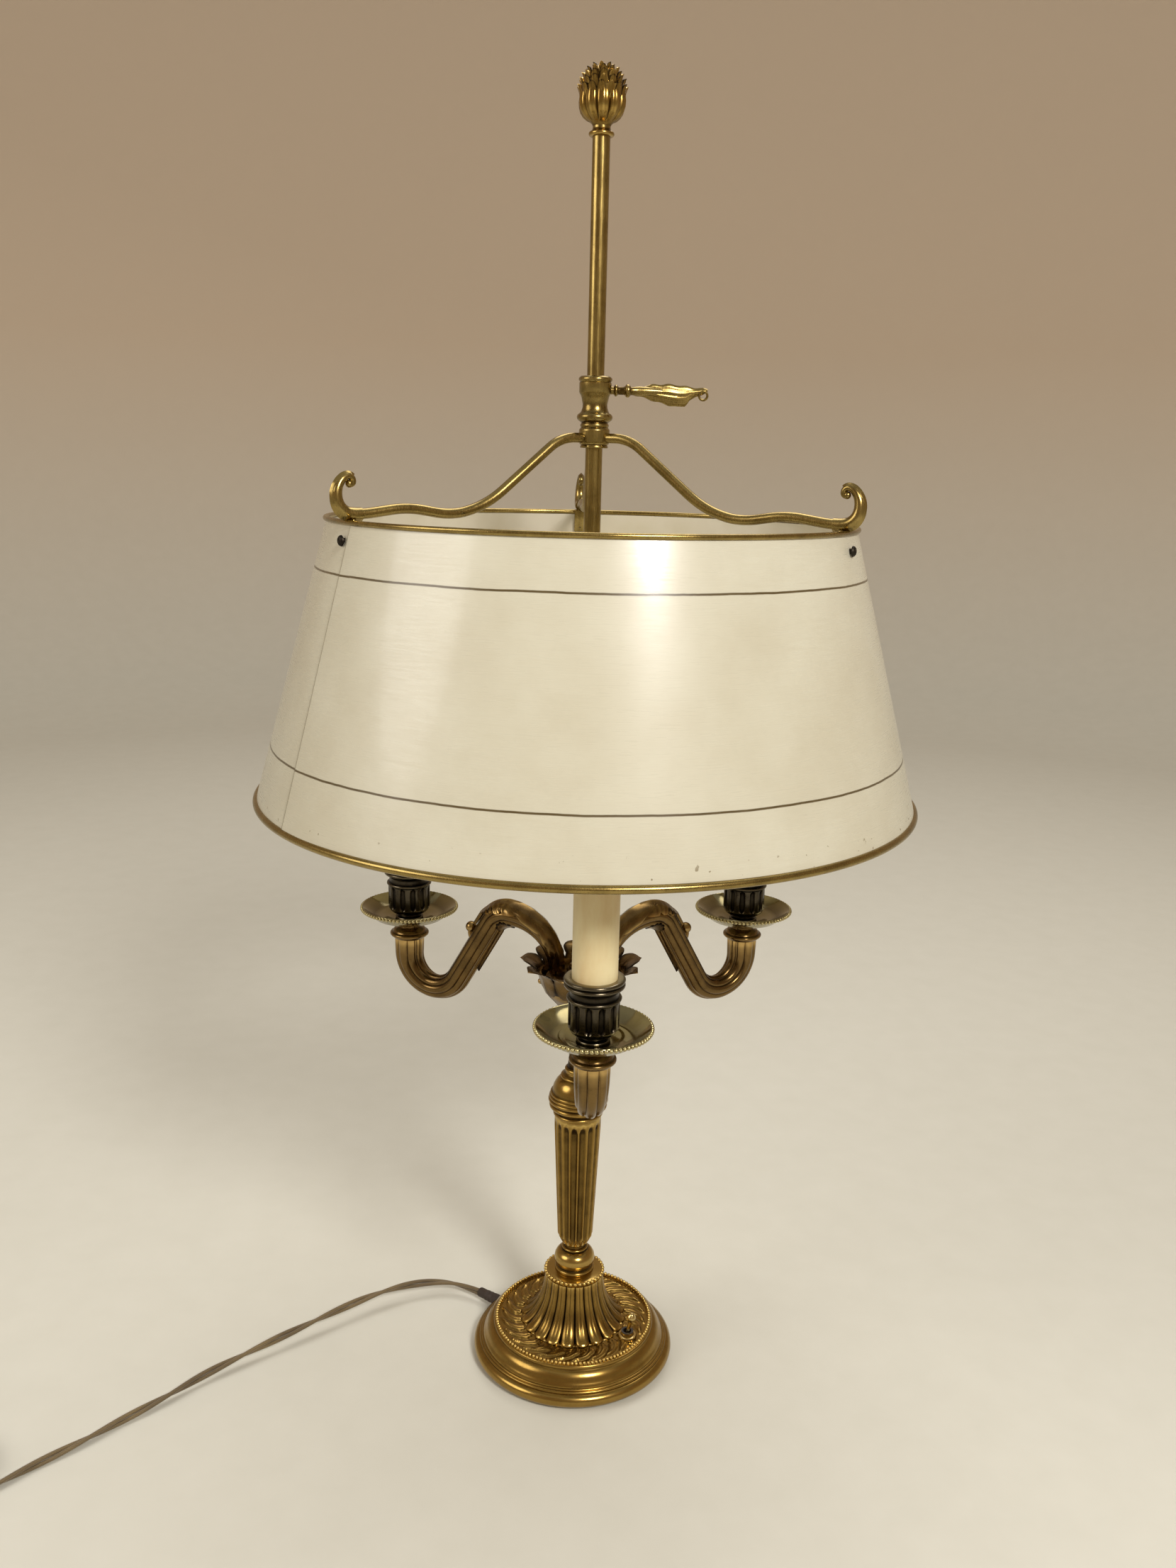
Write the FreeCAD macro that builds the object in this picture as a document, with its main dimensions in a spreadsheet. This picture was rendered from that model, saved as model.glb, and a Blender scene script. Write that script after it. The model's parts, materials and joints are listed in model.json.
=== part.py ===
import FreeCAD, Part
import math
import os
import re
import Sketcher

# Bouillotte lamp: a moulded brass foot, a fluted column, three S-shaped candle arms with drip pans,
# and a painted metal shade that slides and turns on the stem and is held by a clamp key.
# Origin: centre of the felt underside. +Z up, millimetres. The front candle arm points to -Y.

SIZES = {
    # foot and felt
    "felt_inset": 4.2,
    "felt_thick": 1.5,
    "foot_radius": 66.2,
    "foot_height": 23.0,
    "foot_web": 3.4,
    "rim_wall": 4.2,
    "rim_height": 8.7,
    "dish_width": 16.7,
    "seat_rise": 1.4,
    "seat_width": 2.2,
    # bell
    "bell_radius": 34.5,
    "bell_height": 37.0,
    "bell_waist": 18.6,
    "bell_ring": 20.3,
    "gadroon_count": 20,
    "gadroon_depth": 1.3,
    # tie rod, nut and washer
    "tie_radius": 5.0,
    "tie_bore": 3.9,
    "tie_tail": 9.0,
    "rod_play": 0.3,
    "nut_flat": 17.0,
    "nut_height": 5.0,
    "washer_radius": 12.0,
    "washer_thick": 1.5,
    # knob, column and cap
    "knob_radius": 13.0,
    "knob_height": 19.8,
    "knob_neck": 6.6,
    "column_height": 92.2,
    "column_foot_radius": 11.4,
    "column_top_radius": 15.0,
    "column_chamfer": 5.6,
    "flute_count": 16,
    "flute_radius": 1.75,
    "cap_radius": 20.5,
    "cap_height": 30.5,
    # hub
    "neck_radius": 7.2,
    "neck_height": 44.5,
    "neck_head": 13.0,
    "calyx_radius": 35.0,
    "calyx_height": 35.0,
    "calyx_wall": 1.4,
    "calyx_floor": 2.0,
    "leaf_count": 9,
    "leaf_notch": 6.5,
    "head_radius": 22.8,
    "head_height": 17.0,
    "boss_radius": 9.0,
    "boss_height": 9.0,
    # candle arms
    "candle_circle_radius": 130.0,
    "loop_radius": 21.0,
    "loop_height": 258.0,
    "leg_height": 11.0,
    "hump_circle_radius": 51.0,
    "hump_radius": 16.5,
    "hump_height": 298.5,
    "arm_root": 18.0,
    "arm_leg_half": 9.3,
    "arm_loop_half": 6.7,
    "arm_hump_half": 7.4,
    "arm_root_half": 4.6,
    "reed_count": 8,
    "receiver_radius": 12.0,
    "receiver_height": 11.8,
    "receiver_top": 8.0,
    # drip pan, cup, sleeve, holder and bulb
    "pan_radius": 31.4,
    "pan_rise": 9.0,
    "pan_floor": 10.0,
    "pan_wall": 1.2,
    "cup_radius": 13.1,
    "cup_height": 36.0,
    "cup_foot": 8.6,
    "cup_lip": 16.5,
    "cup_floor": 15.5,
    "sleeve_radius": 12.2,
    "sleeve_wall": 0.9,
    "sleeve_length": 95.0,
    "socket_play": 0.1,
    "nipple_radius": 5.0,
    "nipple_bore": 3.9,
    "nipple_depth": 7.0,
    "holder_radius": 11.0,
    "holder_height": 36.0,
    "holder_step": 2.0,
    "holder_floor": 11.0,
    "screw_cap_radius": 6.9,
    "screw_cap_height": 25.0,
    "collar_height": 4.0,
    "bulb_neck": 8.4,
    "bulb_radius": 17.5,
    "bulb_height": 76.0,
    "bulb_wall": 1.0,
    # stem and finial
    "stem_radius": 4.9,
    "stem_top": 761.0,
    "stem_depth": 4.0,
    "finial_socket": 7.8,
    "finial_height": 36.8,
    "finial_radius": 13.3,
    "finial_lobes": 10,
    "thread_play": 0.05,
    # slide and clamp key
    "slide_base": 588.8,
    "liner_wall": 0.75,
    "liner_play": 0.05,
    "liner_flange": 8.0,
    "flange_thick": 1.6,
    "ring_radius": 8.8,
    "ring_height": 9.8,
    "collar_radius": 9.2,
    "collar_bead": 10.3,
    "collar_waist": 7.4,
    "slider_height": 28.0,
    "key_height": 18.2,
    "key_radius": 2.2,
    "key_play": 0.08,
    "key_bead": 3.4,
    "key_bead_place": 24.0,
    "key_leaf_length": 40.0,
    "key_leaf_thick": 3.2,
    # shade and its carrier
    "carrier_radius": 2.8,
    "socket_depth": 2.0,
    "shade_height": 164.0,
    "shade_top_radius": 152.5,
    "shade_foot_radius": 195.0,
    "shade_wall": 0.6,
    "shade_depth": 41.4,
    "wire_width": 3.0,
    "roll_width": 4.4,
    "lug_length": 14.0,
    "lug_thick": 3.0,
    "lug_width": 8.0,
    "shade_screw_radius": 1.5,
    "screw_head_radius": 3.0,
    "screw_head_height": 1.8,
    "screw_depth": 8.0,
    "seat_gap": 0.2,
    # switch
    "switch_angle": -34.0,
    "switch_length": 14.0,
    "switch_width": 12.0,
    "switch_depth": 14.5,
    "switch_bush": 4.0,
    "switch_reach": 4.6,
    "switch_clearance": 1.05,
    "switch_nut_height": 2.2,
    "switch_play": 0.1,
    "toggle_root": 2.6,
    "toggle_half": 1.3,
    "toggle_ball": 2.5,
    "toggle_length": 14.5,
    "toggle_tilt": 11.0,
    "pivot_radius": 0.8,
    # cord, coil and plug
    "cord_radius": 2.6,
    "exit_height": 6.0,
    "exit_angle": 141.0,
    "bush_radius": 3.9,
    "bush_length": 22.0,
    "bush_nose": 3.3,
    "coil_radius": 40.4,
    "coil_pitch": 5.85,
    "coil_turns": 3.25,
    "tie_width": 6.0,
    "tie_strap": 0.4,
    "tail_length": 20.0,
    "plug_neck": 18.0,
    "plug_length": 33.0,
    "plug_width": 35.0,
    "plug_thick": 15.0,
    "pin_radius": 2.0,
    "pin_length": 19.0,
    "pin_spacing": 18.6,
}

# Heights and radii that follow from the sizes above.
DERIVED = {
    "felt_radius": "foot_radius - felt_inset",
    "seat_radius": "bell_radius + dish_width",
    "switch_circle": "bell_radius + (dish_width - seat_width) / 2",
    "switch_nut_radius": "(dish_width - seat_width) / 2 - switch_clearance",
    "finial_base": "stem_top - finial_socket",
    "web_under": "foot_height - foot_web",
    "rod_hole": "tie_radius + rod_play",
    "knob_base": "foot_height + bell_height",
    "column_base": "knob_base + knob_height",
    "cap_base": "column_base + column_height",
    "neck_base": "cap_base + cap_height",
    "calyx_base": "neck_base + neck_height",
    "head_base": "calyx_base + calyx_floor",
    "arm_seat": "head_base + head_height",
    "stem_base": "arm_seat - stem_depth",
    "pan_seat": "loop_height + leg_height + receiver_height",
    "cup_base": "pan_seat + pan_wall",
    "sleeve_base": "cup_base + cup_floor",
    "sleeve_top": "sleeve_base + sleeve_length",
    "holder_base": "sleeve_top - holder_step - holder_height",
    "cap_seat": "holder_base + holder_floor",
    "glass_base": "cap_seat + screw_cap_height + collar_height",
    "liner_inner": "stem_radius + liner_play",
    "liner_outer": "liner_inner + liner_wall",
    "slider_bore": "liner_outer + liner_play",
    "ring_base": "slide_base + flange_thick",
    "slider_base": "ring_base + ring_height",
    "slider_top": "slider_base + slider_height",
    "carrier_height": "ring_base + ring_height * 0.4",
    "rim_top": "ring_base - shade_depth",
    "shade_top": "rim_top - wire_width",
    "shade_foot": "rim_top - shade_height + roll_width",
    "switch_top": "foot_height + switch_reach",
    "toggle_pivot": "foot_height + 1.9",
}

doc = FreeCAD.newDocument("bouillotte_lamp")
sheet = doc.addObject("Spreadsheet::Sheet", "Sizes")
for row, (alias, value) in enumerate(SIZES.items(), start=1):
    sheet.set(f"A{row}", alias)
    sheet.set(f"B{row}", str(value))
    sheet.setAlias(f"B{row}", alias)
doc.recompute()


def bind(text):
    """An expression on the sheet's cells, from one written with bare size names."""
    def swap(match):
        word = match.group(0)
        if word in SIZES:
            return "Sizes." + word
        if word in DERIVED:
            return "(" + bind(DERIVED[word]) + ")"
        return word
    return re.sub(r"[a-z_]+", swap, str(text))


def value_of(text):
    """The number that an expression gives now."""
    return float(sheet.evalExpression(bind(text)))


def plane_of(body, role):
    return next(plane for plane in body.Origin.OriginFeatures if plane.Role == role)


def new_sketch(body, name, role="XZ_Plane", lift="0"):
    sketch = body.newObject("Sketcher::SketchObject", name)
    sketch.AttachmentSupport = [(plane_of(body, role), "")]
    sketch.MapMode = "FlatFace"
    if lift != "0":
        sketch.AttachmentOffset = FreeCAD.Placement(FreeCAD.Vector(0, 0, value_of(lift)), FreeCAD.Rotation())
        sketch.setExpression("AttachmentOffset.Base.z", bind(lift))
    return sketch


def hold_point(sketch, geometry, position, x, y):
    """Ties one point of the sketch to its two expressions."""
    for kind, axis, text in (("DistanceX", -2, x), ("DistanceY", -1, y)):
        if str(text) == "0":
            sketch.addConstraint(Sketcher.Constraint("PointOnObject", geometry, position, axis))
            continue
        number = value_of(text)
        index = sketch.addConstraint(Sketcher.Constraint(kind, -1, 1, geometry, position, number))
        sketch.setExpression(f"Constraints[{index}]", bind(text))


def outline(body, name, corners, role="XZ_Plane", lift="0"):
    """A closed sketch of straight lines through corners given as pairs of expressions."""
    sketch = new_sketch(body, name, role, lift)
    places = [FreeCAD.Vector(value_of(x), value_of(y), 0) for x, y in corners]
    count = len(corners)
    for index in range(count):
        sketch.addGeometry(Part.LineSegment(places[index], places[(index + 1) % count]), False)
    for index in range(count):
        sketch.addConstraint(Sketcher.Constraint("Coincident", index, 2, (index + 1) % count, 1))
    for index in range(count):
        hold_point(sketch, index, 1, corners[index][0], corners[index][1])
    return sketch


def disc(body, name, radius, x="0", y="0", role="XY_Plane", lift="0"):
    """A sketch of one circle."""
    sketch = new_sketch(body, name, role, lift)
    centre = FreeCAD.Vector(value_of(x), value_of(y), 0)
    circle = sketch.addGeometry(Part.Circle(centre, FreeCAD.Vector(0, 0, 1), value_of(radius)), False)
    index = sketch.addConstraint(Sketcher.Constraint("Radius", circle, value_of(radius)))
    sketch.setExpression(f"Constraints[{index}]", bind(radius))
    hold_point(sketch, circle, 3, x, y)
    return sketch


def new_body(name):
    body = doc.addObject("PartDesign::Body", name)
    body.Label = name
    return body


def feature(body, kind, name, sketch, **settings):
    made = body.newObject("PartDesign::" + kind, name)
    made.Profile = sketch
    for key, setting in settings.items():
        setattr(made, key, setting)
    body.Tip = made
    return made


def turned(name, corners):
    """A body of revolution about Z from a closed outline of (radius, height) corners."""
    body = new_body(name)
    sketch = outline(body, name + "_outline", corners)
    feature(body, "Revolution", name + "_turned", sketch, ReferenceAxis=(sketch, ["V_Axis"]), Angle=360.0)
    return body


def bound_length(made, key, text):
    made.setExpression(key, bind(text))


def cut_through(body, name, sketch, length, both=False, backwards=False):
    """A pocket of stated length, on one side of its sketch or on both."""
    doc.recompute()
    before = body.Shape.Volume
    made = feature(body, "Pocket", name, sketch)
    made.Type = 0
    made.Midplane = both
    made.Reversed = backwards
    bound_length(made, "Length", length)
    doc.recompute()
    if body.Shape.Volume > before - 1e-6:
        raise ValueError(f"{name} cuts nothing")
    return made


def around(body, name, original, count):
    """Repeats a feature round Z."""
    made = body.newObject("PartDesign::PolarPattern", name)
    made.Originals = [original]
    made.Axis = (plane_of(body, "Z_Axis"), [""])
    made.Angle = 360.0
    made.setExpression("Occurrences", bind(count))
    body.Tip = made
    doc.recompute()
    return made


def turn_about_z(angle, x=0.0, y=0.0, z=0.0):
    """The placement of a piece moved by (x, y, z) and then turned by angle about the lamp's axis."""
    turn = FreeCAD.Rotation(FreeCAD.Vector(0, 0, 1), angle)
    return FreeCAD.Placement(turn.multVec(FreeCAD.Vector(x, y, z)), turn)


def shaped(name, shape):
    """A sub-part whose shape is worked out by a formula."""
    made = doc.addObject("Part::Feature", name)
    made.Label = name
    made.Shape = shape
    return made


KEPT = []


def keep(piece):
    KEPT.append(piece)


def keep_group(name, pieces):
    """Identical pieces that share one node, as separate solids."""
    group = doc.addObject("Part::Compound", name)
    group.Label = name
    group.Links = pieces
    keep(group)


def lobed_ring(radius, depth, count, height, crown=0.5):
    """A ring of lobes with flat crowns and sharp valleys; crown is the crown's share of a lobe."""
    step = 2 * math.pi / count
    corners = []
    for index in range(count):
        for share, size in ((0.0, radius - depth), (0.5 - crown / 2, radius), (0.5 + crown / 2, radius)):
            angle = (index + share) * step
            corners.append(FreeCAD.Vector(size * math.cos(angle), size * math.sin(angle), height))
    return corners


def faceted_solid(rings):
    """A solid through rings of equally many corners, closed by flat triangles and by a flat end on each side."""
    faces = []
    for near, far in zip(rings, rings[1:]):
        for index in range(len(near)):
            following = (index + 1) % len(near)
            for corners in ((near[index], near[following], far[index]),
                            (near[following], far[following], far[index])):
                faces.append(Part.Face(Part.makePolygon([*corners, corners[0]])))
    for end in (rings[0], rings[-1]):
        faces.append(Part.Face(Part.makePolygon([*end, end[0]])))
    solid = Part.Solid(Part.Shell(faces))
    if solid.Volume < 0:
        solid.reverse()
    return solid


def ring_solid(points):
    """A solid of revolution about Z from (radius, height) points joined by lines."""
    corners = [FreeCAD.Vector(radius, 0, height) for radius, height in points]
    corners.append(corners[0])
    face = Part.Face(Part.makePolygon(corners))
    return face.revolve(FreeCAD.Vector(0, 0, 0), FreeCAD.Vector(0, 0, 1), 360)


# Felt and foot


def make_felt():
    corners = [("0", "0"), ("felt_radius", "0"), ("felt_radius", "felt_thick"), ("0", "felt_thick")]
    keep(turned("felt_pad", corners))


def make_foot():
    """Spun brass foot: round rim, ogee, bead seat and flat dish, with holes for rod, switch and cord."""
    rim = "felt_thick + rim_height"
    inner = "foot_radius - 2 - rim_wall"
    corners = [
        (inner, "felt_thick"),
        ("foot_radius - 1.8", "felt_thick"),
        ("foot_radius", "felt_thick + rim_height * 0.4"),
        ("foot_radius - 0.6", "felt_thick + rim_height * 0.7"),
        ("foot_radius - 3.4", rim),
        ("foot_radius - 6.4", "foot_height - 7.4"),
        ("seat_radius + 2", "foot_height - 1.8"),
        ("seat_radius + 1.4", "foot_height + seat_rise"),
        ("seat_radius - 1.4", "foot_height + seat_rise"),
        ("seat_radius - seat_width", "foot_height"),
        ("rod_hole", "foot_height"),
        ("rod_hole", "web_under"),
        ("seat_radius - 0.6", "web_under"),
        (inner, rim + " - 2"),
    ]
    body = turned("foot", corners)
    angle = math.radians(value_of("switch_angle"))
    hole = disc(body, "switch_hole", "switch_bush + switch_play", lift="foot_height")
    place = FreeCAD.Vector(value_of("switch_circle") * math.cos(angle),
                           value_of("switch_circle") * math.sin(angle), value_of("foot_height"))
    hole.AttachmentOffset = FreeCAD.Placement(place, FreeCAD.Rotation())
    cut_through(body, "switch_hole_cut", hole, "foot_web + 1")
    bore = disc(body, "cord_hole", "bush_radius + 0.05", x="0", y="exit_height", role="YZ_Plane")
    turn = FreeCAD.Rotation(FreeCAD.Vector(0, 1, 0), value_of("exit_angle"))
    reach = turn.multVec(FreeCAD.Vector(0, 0, value_of("foot_radius * 0.75")))
    bore.AttachmentOffset = FreeCAD.Placement(reach, turn)
    cut_through(body, "cord_hole_cut", bore, "foot_radius * 0.4", backwards=True)
    keep(body)


def make_bell():
    """Cast bell with gadroons that widen down the flare and run out on its edge."""
    base = value_of("foot_height")
    height = value_of("bell_height")
    edge = value_of("bell_radius")
    waist = value_of("bell_waist")
    count = int(value_of("gadroon_count"))
    depth = value_of("gadroon_depth")
    # share of the height, radius and depth of the gadroons at each level
    levels = [
        (0.000, edge, 0.3 * depth),
        (0.045, edge - 0.6, depth),
        (0.120, edge - 4.5, 1.5 * depth),
        (0.240, waist + 6.6, 1.6 * depth),
        (0.400, waist + 2.6, 1.3 * depth),
        (0.620, waist + 0.4, depth),
        (0.930, waist + 0.2, 0.8 * depth),
    ]
    rings = [lobed_ring(radius, cut, count, base + share * height) for share, radius, cut in levels]
    flare = faceted_solid(rings)
    ring_foot = base + 0.90 * height
    ring = value_of("bell_ring")
    top = base + height
    collar = ring_solid([(0, ring_foot), (ring - 1.6, ring_foot), (ring, ring_foot + 1.4),
                         (ring - 0.4, top), (0, top)])
    bore = Part.makeCylinder(value_of("rod_hole"), height + 2, FreeCAD.Vector(0, 0, base - 1))
    keep(shaped("bell", flare.fuse(collar).cut(bore)))


def make_rod_set():
    """Threaded tie rod with its washer and hexagon nut under the foot."""
    nut_top = "web_under - washer_thick"
    corners = [
        ("tie_bore", "web_under - tie_tail"),
        ("tie_radius", "web_under - tie_tail"),
        ("tie_radius", "stem_base - 1"),
        ("tie_bore", "stem_base - 1"),
    ]
    keep(turned("tie_rod", corners))
    washer = [("rod_hole", nut_top), ("washer_radius", nut_top), ("washer_radius", "web_under"),
              ("rod_hole", "web_under")]
    keep(turned("base_washer", washer))
    body = new_body("base_nut")
    sketch = new_sketch(body, "nut_outline", "XY_Plane", nut_top + " - nut_height")
    corner = value_of("nut_flat / sqrt(3)")
    points = [FreeCAD.Vector(corner * math.cos(math.pi / 3 * step), corner * math.sin(math.pi / 3 * step), 0)
              for step in range(6)]
    for step in range(6):
        sketch.addGeometry(Part.LineSegment(points[step], points[(step + 1) % 6]), False)
    for step in range(6):
        sketch.addConstraint(Sketcher.Constraint("Coincident", step, 2, (step + 1) % 6, 1))
    circle = sketch.addGeometry(Part.Circle(FreeCAD.Vector(), FreeCAD.Vector(0, 0, 1), corner), True)
    sketch.addConstraint(Sketcher.Constraint("Coincident", circle, 3, -1, 1))
    for step in range(6):
        sketch.addConstraint(Sketcher.Constraint("PointOnObject", step, 1, circle))
    for step in range(1, 6):
        sketch.addConstraint(Sketcher.Constraint("Equal", 0, step))
    sketch.addConstraint(Sketcher.Constraint("PointOnObject", 0, 1, -1))
    index = sketch.addConstraint(Sketcher.Constraint("Radius", circle, corner))
    sketch.setExpression(f"Constraints[{index}]", bind("nut_flat / sqrt(3)"))
    pad = feature(body, "Pad", "nut_pad", sketch)
    bound_length(pad, "Length", "nut_height")
    hole = disc(body, "nut_hole", "tie_radius + thread_play", lift=nut_top)
    cut_through(body, "nut_hole_cut", hole, "nut_height + 1")
    keep(body)


# Knob, column and cap


def make_knob():
    base = "knob_base"
    corners = [
        ("rod_hole", base),
        ("knob_radius - 1.2", base),
        ("knob_radius - 0.6", base + " + 2.6"),
        ("knob_radius - 1.6", base + " + 3.6"),
        ("knob_radius", base + " + knob_height * 0.42"),
        ("knob_radius - 2", base + " + knob_height * 0.72"),
        ("knob_neck", base + " + knob_height * 0.84"),
        ("column_foot_radius - 2.9", "column_base"),
        ("rod_hole", "column_base"),
    ]
    keep(turned("column_knob", corners))


def make_column():
    """Tapered column with flutes that run out at both ends."""
    base = value_of("column_base")
    top = value_of("cap_base")
    foot = value_of("column_foot_radius")
    head = value_of("column_top_radius")
    start = base + value_of("column_chamfer")
    depth = value_of("flute_radius") * 0.8
    count = int(value_of("flute_count"))
    levels = [
        (base, foot - 2.9, 0),
        (start, foot, 0),
        (start + 2.4, foot + 0.1, depth * 0.85),
        (top - 4.4, head, depth),
        (top - 2.0, head, 0),
        (top, head - 0.8, 0),
    ]
    rings = [lobed_ring(radius, cut, count, height, crown=0.42) for height, radius, cut in levels]
    shaft = faceted_solid(rings)
    bore = Part.makeCylinder(value_of("rod_hole"), top - base + 2, FreeCAD.Vector(0, 0, base - 1))
    keep(shaped("column", shaft.cut(bore)))


def make_cap():
    """Turned cap: necking, two rings and a dome."""
    base = "cap_base"
    corners = [
        ("rod_hole", base),
        ("column_top_radius + 1", base),
        ("column_top_radius + 1.2", base + " + 2.6"),
        ("cap_radius - 1", base + " + 4.8"),
        ("cap_radius - 1.6", base + " + 8.2"),
        ("cap_radius", base + " + 11"),
        ("cap_radius - 1.2", base + " + 15.2"),
        ("cap_radius * 0.86", base + " + 21.6"),
        ("cap_radius * 0.66", base + " + 27.4"),
        ("neck_radius + 1.6", "neck_base"),
        ("rod_hole", "neck_base"),
    ]
    keep(turned("column_cap", corners))


# Hub


def make_hub():
    """Turned neck, leaf cup and the head that the arms stand on."""
    base = "neck_base"
    corners = [
        ("rod_hole", base),
        ("neck_radius + 1.6", base),
        ("neck_radius", base + " + 2.4"),
        ("neck_radius - 0.3", base + " + 17"),
        ("neck_radius + 2.4", base + " + 20.4"),
        ("neck_radius + 2.4", base + " + 22.8"),
        ("neck_radius", base + " + 26.4"),
        ("neck_radius + 1.2", base + " + 36"),
        ("neck_head", "calyx_base"),
        ("rod_hole", "calyx_base"),
    ]
    keep(turned("hub_neck", corners))

    base = "calyx_base"
    tip = "calyx_base + calyx_height"
    corners = [
        ("rod_hole", base),
        ("neck_head + 1.6", base),
        ("head_radius + 0.4 + calyx_wall", "arm_seat - 8"),
        ("head_radius + 2 + calyx_wall", "arm_seat - 3"),
        ("calyx_radius * 0.82", base + " + calyx_height * 0.68"),
        ("calyx_radius", tip),
        ("calyx_radius * 0.82 - calyx_wall", base + " + calyx_height * 0.72"),
        ("head_radius + 0.3", "arm_seat - 4"),
        ("neck_head + 0.4", "head_base"),
        ("rod_hole", "head_base"),
    ]
    body = turned("hub_calyx", corners)
    doc.recompute()
    notch = outline(body, "leaf_notch", [
        ("0", tip + " - leaf_notch * 1.5"),
        ("leaf_notch", tip + " + 1"),
        ("-leaf_notch", tip + " + 1"),
    ], role="XZ_Plane")
    cut = cut_through(body, "leaf_notch_cut", notch, "calyx_radius + 4")
    around(body, "leaf_notches", cut, "leaf_count")
    keep(body)

    corners = [
        ("rod_hole", "head_base"),
        ("neck_head", "head_base"),
        ("head_radius", "arm_seat - 4"),
        ("head_radius", "arm_seat"),
        ("boss_radius", "arm_seat"),
        ("boss_radius - 0.6", "arm_seat + boss_height"),
        ("stem_radius + thread_play", "arm_seat + boss_height"),
        ("stem_radius + thread_play", "stem_base"),
        ("rod_hole", "stem_base"),
    ]
    keep(turned("hub_head", corners))


# Candle arms


def arm_path():
    """Stations along the arm, from under the drip pan to the hub: place, direction and half width."""
    circle = value_of("candle_circle_radius")
    loop = value_of("loop_radius")
    drop = value_of("loop_height")
    hump = value_of("hump_radius")
    peak = value_of("hump_height")
    root = value_of("arm_root")
    seat = value_of("arm_seat")
    hump_circle = value_of("hump_circle_radius")
    loop_centre = (circle - loop, drop)
    hump_centre = (hump_circle, peak - hump)
    reach = math.dist(loop_centre, hump_centre)
    line = math.atan2(hump_centre[1] - loop_centre[1], hump_centre[0] - loop_centre[0])
    rise = line - math.asin((loop + hump) / reach)
    leave = rise + math.pi / 2 - 2 * math.pi
    halves = [value_of(name) for name in ("arm_leg_half", "arm_loop_half", "arm_hump_half", "arm_root_half")]
    leg_half, loop_half, hump_half, root_half = halves
    stations = [(circle, drop + value_of("leg_height"), -math.pi / 2, leg_half)]
    steps = 8
    for step in range(steps + 1):
        turn = leave * step / steps
        share = min(1.0, step / 4)
        half = leg_half - 1.2 + (loop_half - leg_half + 1.2) * share
        stations.append((loop_centre[0] + loop * math.cos(turn), loop_centre[1] + loop * math.sin(turn),
                         turn - math.pi / 2, half))
    steps = 4
    start = rise - math.pi / 2
    for step in range(steps + 1):
        turn = start + (math.pi / 2 - start) * step / steps
        half = loop_half + (hump_half - loop_half) * min(1.0, (step + 1) / 3)
        stations.append((hump_centre[0] + hump * math.cos(turn), hump_centre[1] + hump * math.sin(turn),
                         turn + math.pi / 2, half))
    across = hump_circle - root
    down = peak - seat - 1.5
    steps = 5
    for step in range(1, steps + 1):
        turn = math.pi / 2 + math.pi / 2 * step / steps
        half = hump_half + (root_half - hump_half) * step / steps
        direction = math.atan2(down * math.cos(turn), -across * math.sin(turn))
        stations.append((hump_circle + across * math.cos(turn), peak - down + down * math.sin(turn),
                         direction, half))
    stations.append((root, seat, -math.pi / 2, root_half))
    return stations


def reeded_section(radius, height, direction, half, valley=0.84):
    """A closed section of reeds and valleys, square to the path at (radius, height)."""
    count = int(value_of("reed_count"))
    across = FreeCAD.Vector(-math.sin(direction), 0, math.cos(direction))
    side = FreeCAD.Vector(0, 1, 0)
    centre = FreeCAD.Vector(radius, 0, height)
    corners = []
    for step in range(2 * count):
        turn = math.pi * step / count
        size = half if step % 2 == 0 else half * valley
        corners.append(centre + across * (size * math.cos(turn)) + side * (size * math.sin(turn)))
    return corners


def make_arms():
    """Cast arm: reeded S with a round receiver, seat and nipple hole on its outer end."""
    circle = value_of("candle_circle_radius")
    low = value_of("loop_height + leg_height")
    top = value_of("pan_seat")
    radius = value_of("receiver_radius")
    seat = value_of("receiver_top")
    receiver = [(top, seat), (top - 3.4, seat - 0.4), (low + 5.2, radius - 0.6), (low + 1.6, radius)]
    sections = [reeded_section(circle, height, -math.pi / 2, half, valley=1.0) for height, half in receiver]
    sections += [reeded_section(*station) for station in arm_path()]
    casting = faceted_solid(sections)
    hole = value_of("nipple_radius + thread_play")
    depth = value_of("nipple_depth")
    drill = Part.makeCylinder(hole, depth + 1, FreeCAD.Vector(circle, 0, top - depth))
    casting = casting.cut(drill)
    for name, angle in CANDLES:
        piece = shaped("candle_arm_" + name, casting)
        piece.Placement = turn_about_z(angle)
        keep(piece)


CANDLES = [("front", -90.0), ("right", 30.0), ("left", 150.0)]
CARRIERS = [("back", 90.0), ("left", 210.0), ("right", -30.0)]


def on_each_candle(name, make):
    """The same turned piece on the end of each candle arm."""
    pieces = []
    for place, angle in CANDLES:
        piece = make(name + "_" + place)
        piece.Placement = turn_about_z(angle, value_of("candle_circle_radius"))
        pieces.append(piece)
    return pieces


def make_pan(name):
    base = "pan_seat"
    rim = "pan_seat + pan_rise"
    corners = [
        ("nipple_radius + rod_play", base),
        ("pan_floor", base),
        ("pan_radius * 0.74", base + " + pan_rise * 0.26"),
        ("pan_radius", rim + " - 0.6"),
        ("pan_radius - 0.8", rim + " + 0.9"),
        ("pan_radius * 0.72", base + " + pan_wall + pan_rise * 0.28"),
        ("pan_floor - 0.2", "cup_base"),
        ("nipple_radius + rod_play", "cup_base"),
    ]
    return turned(name, corners)


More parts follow.
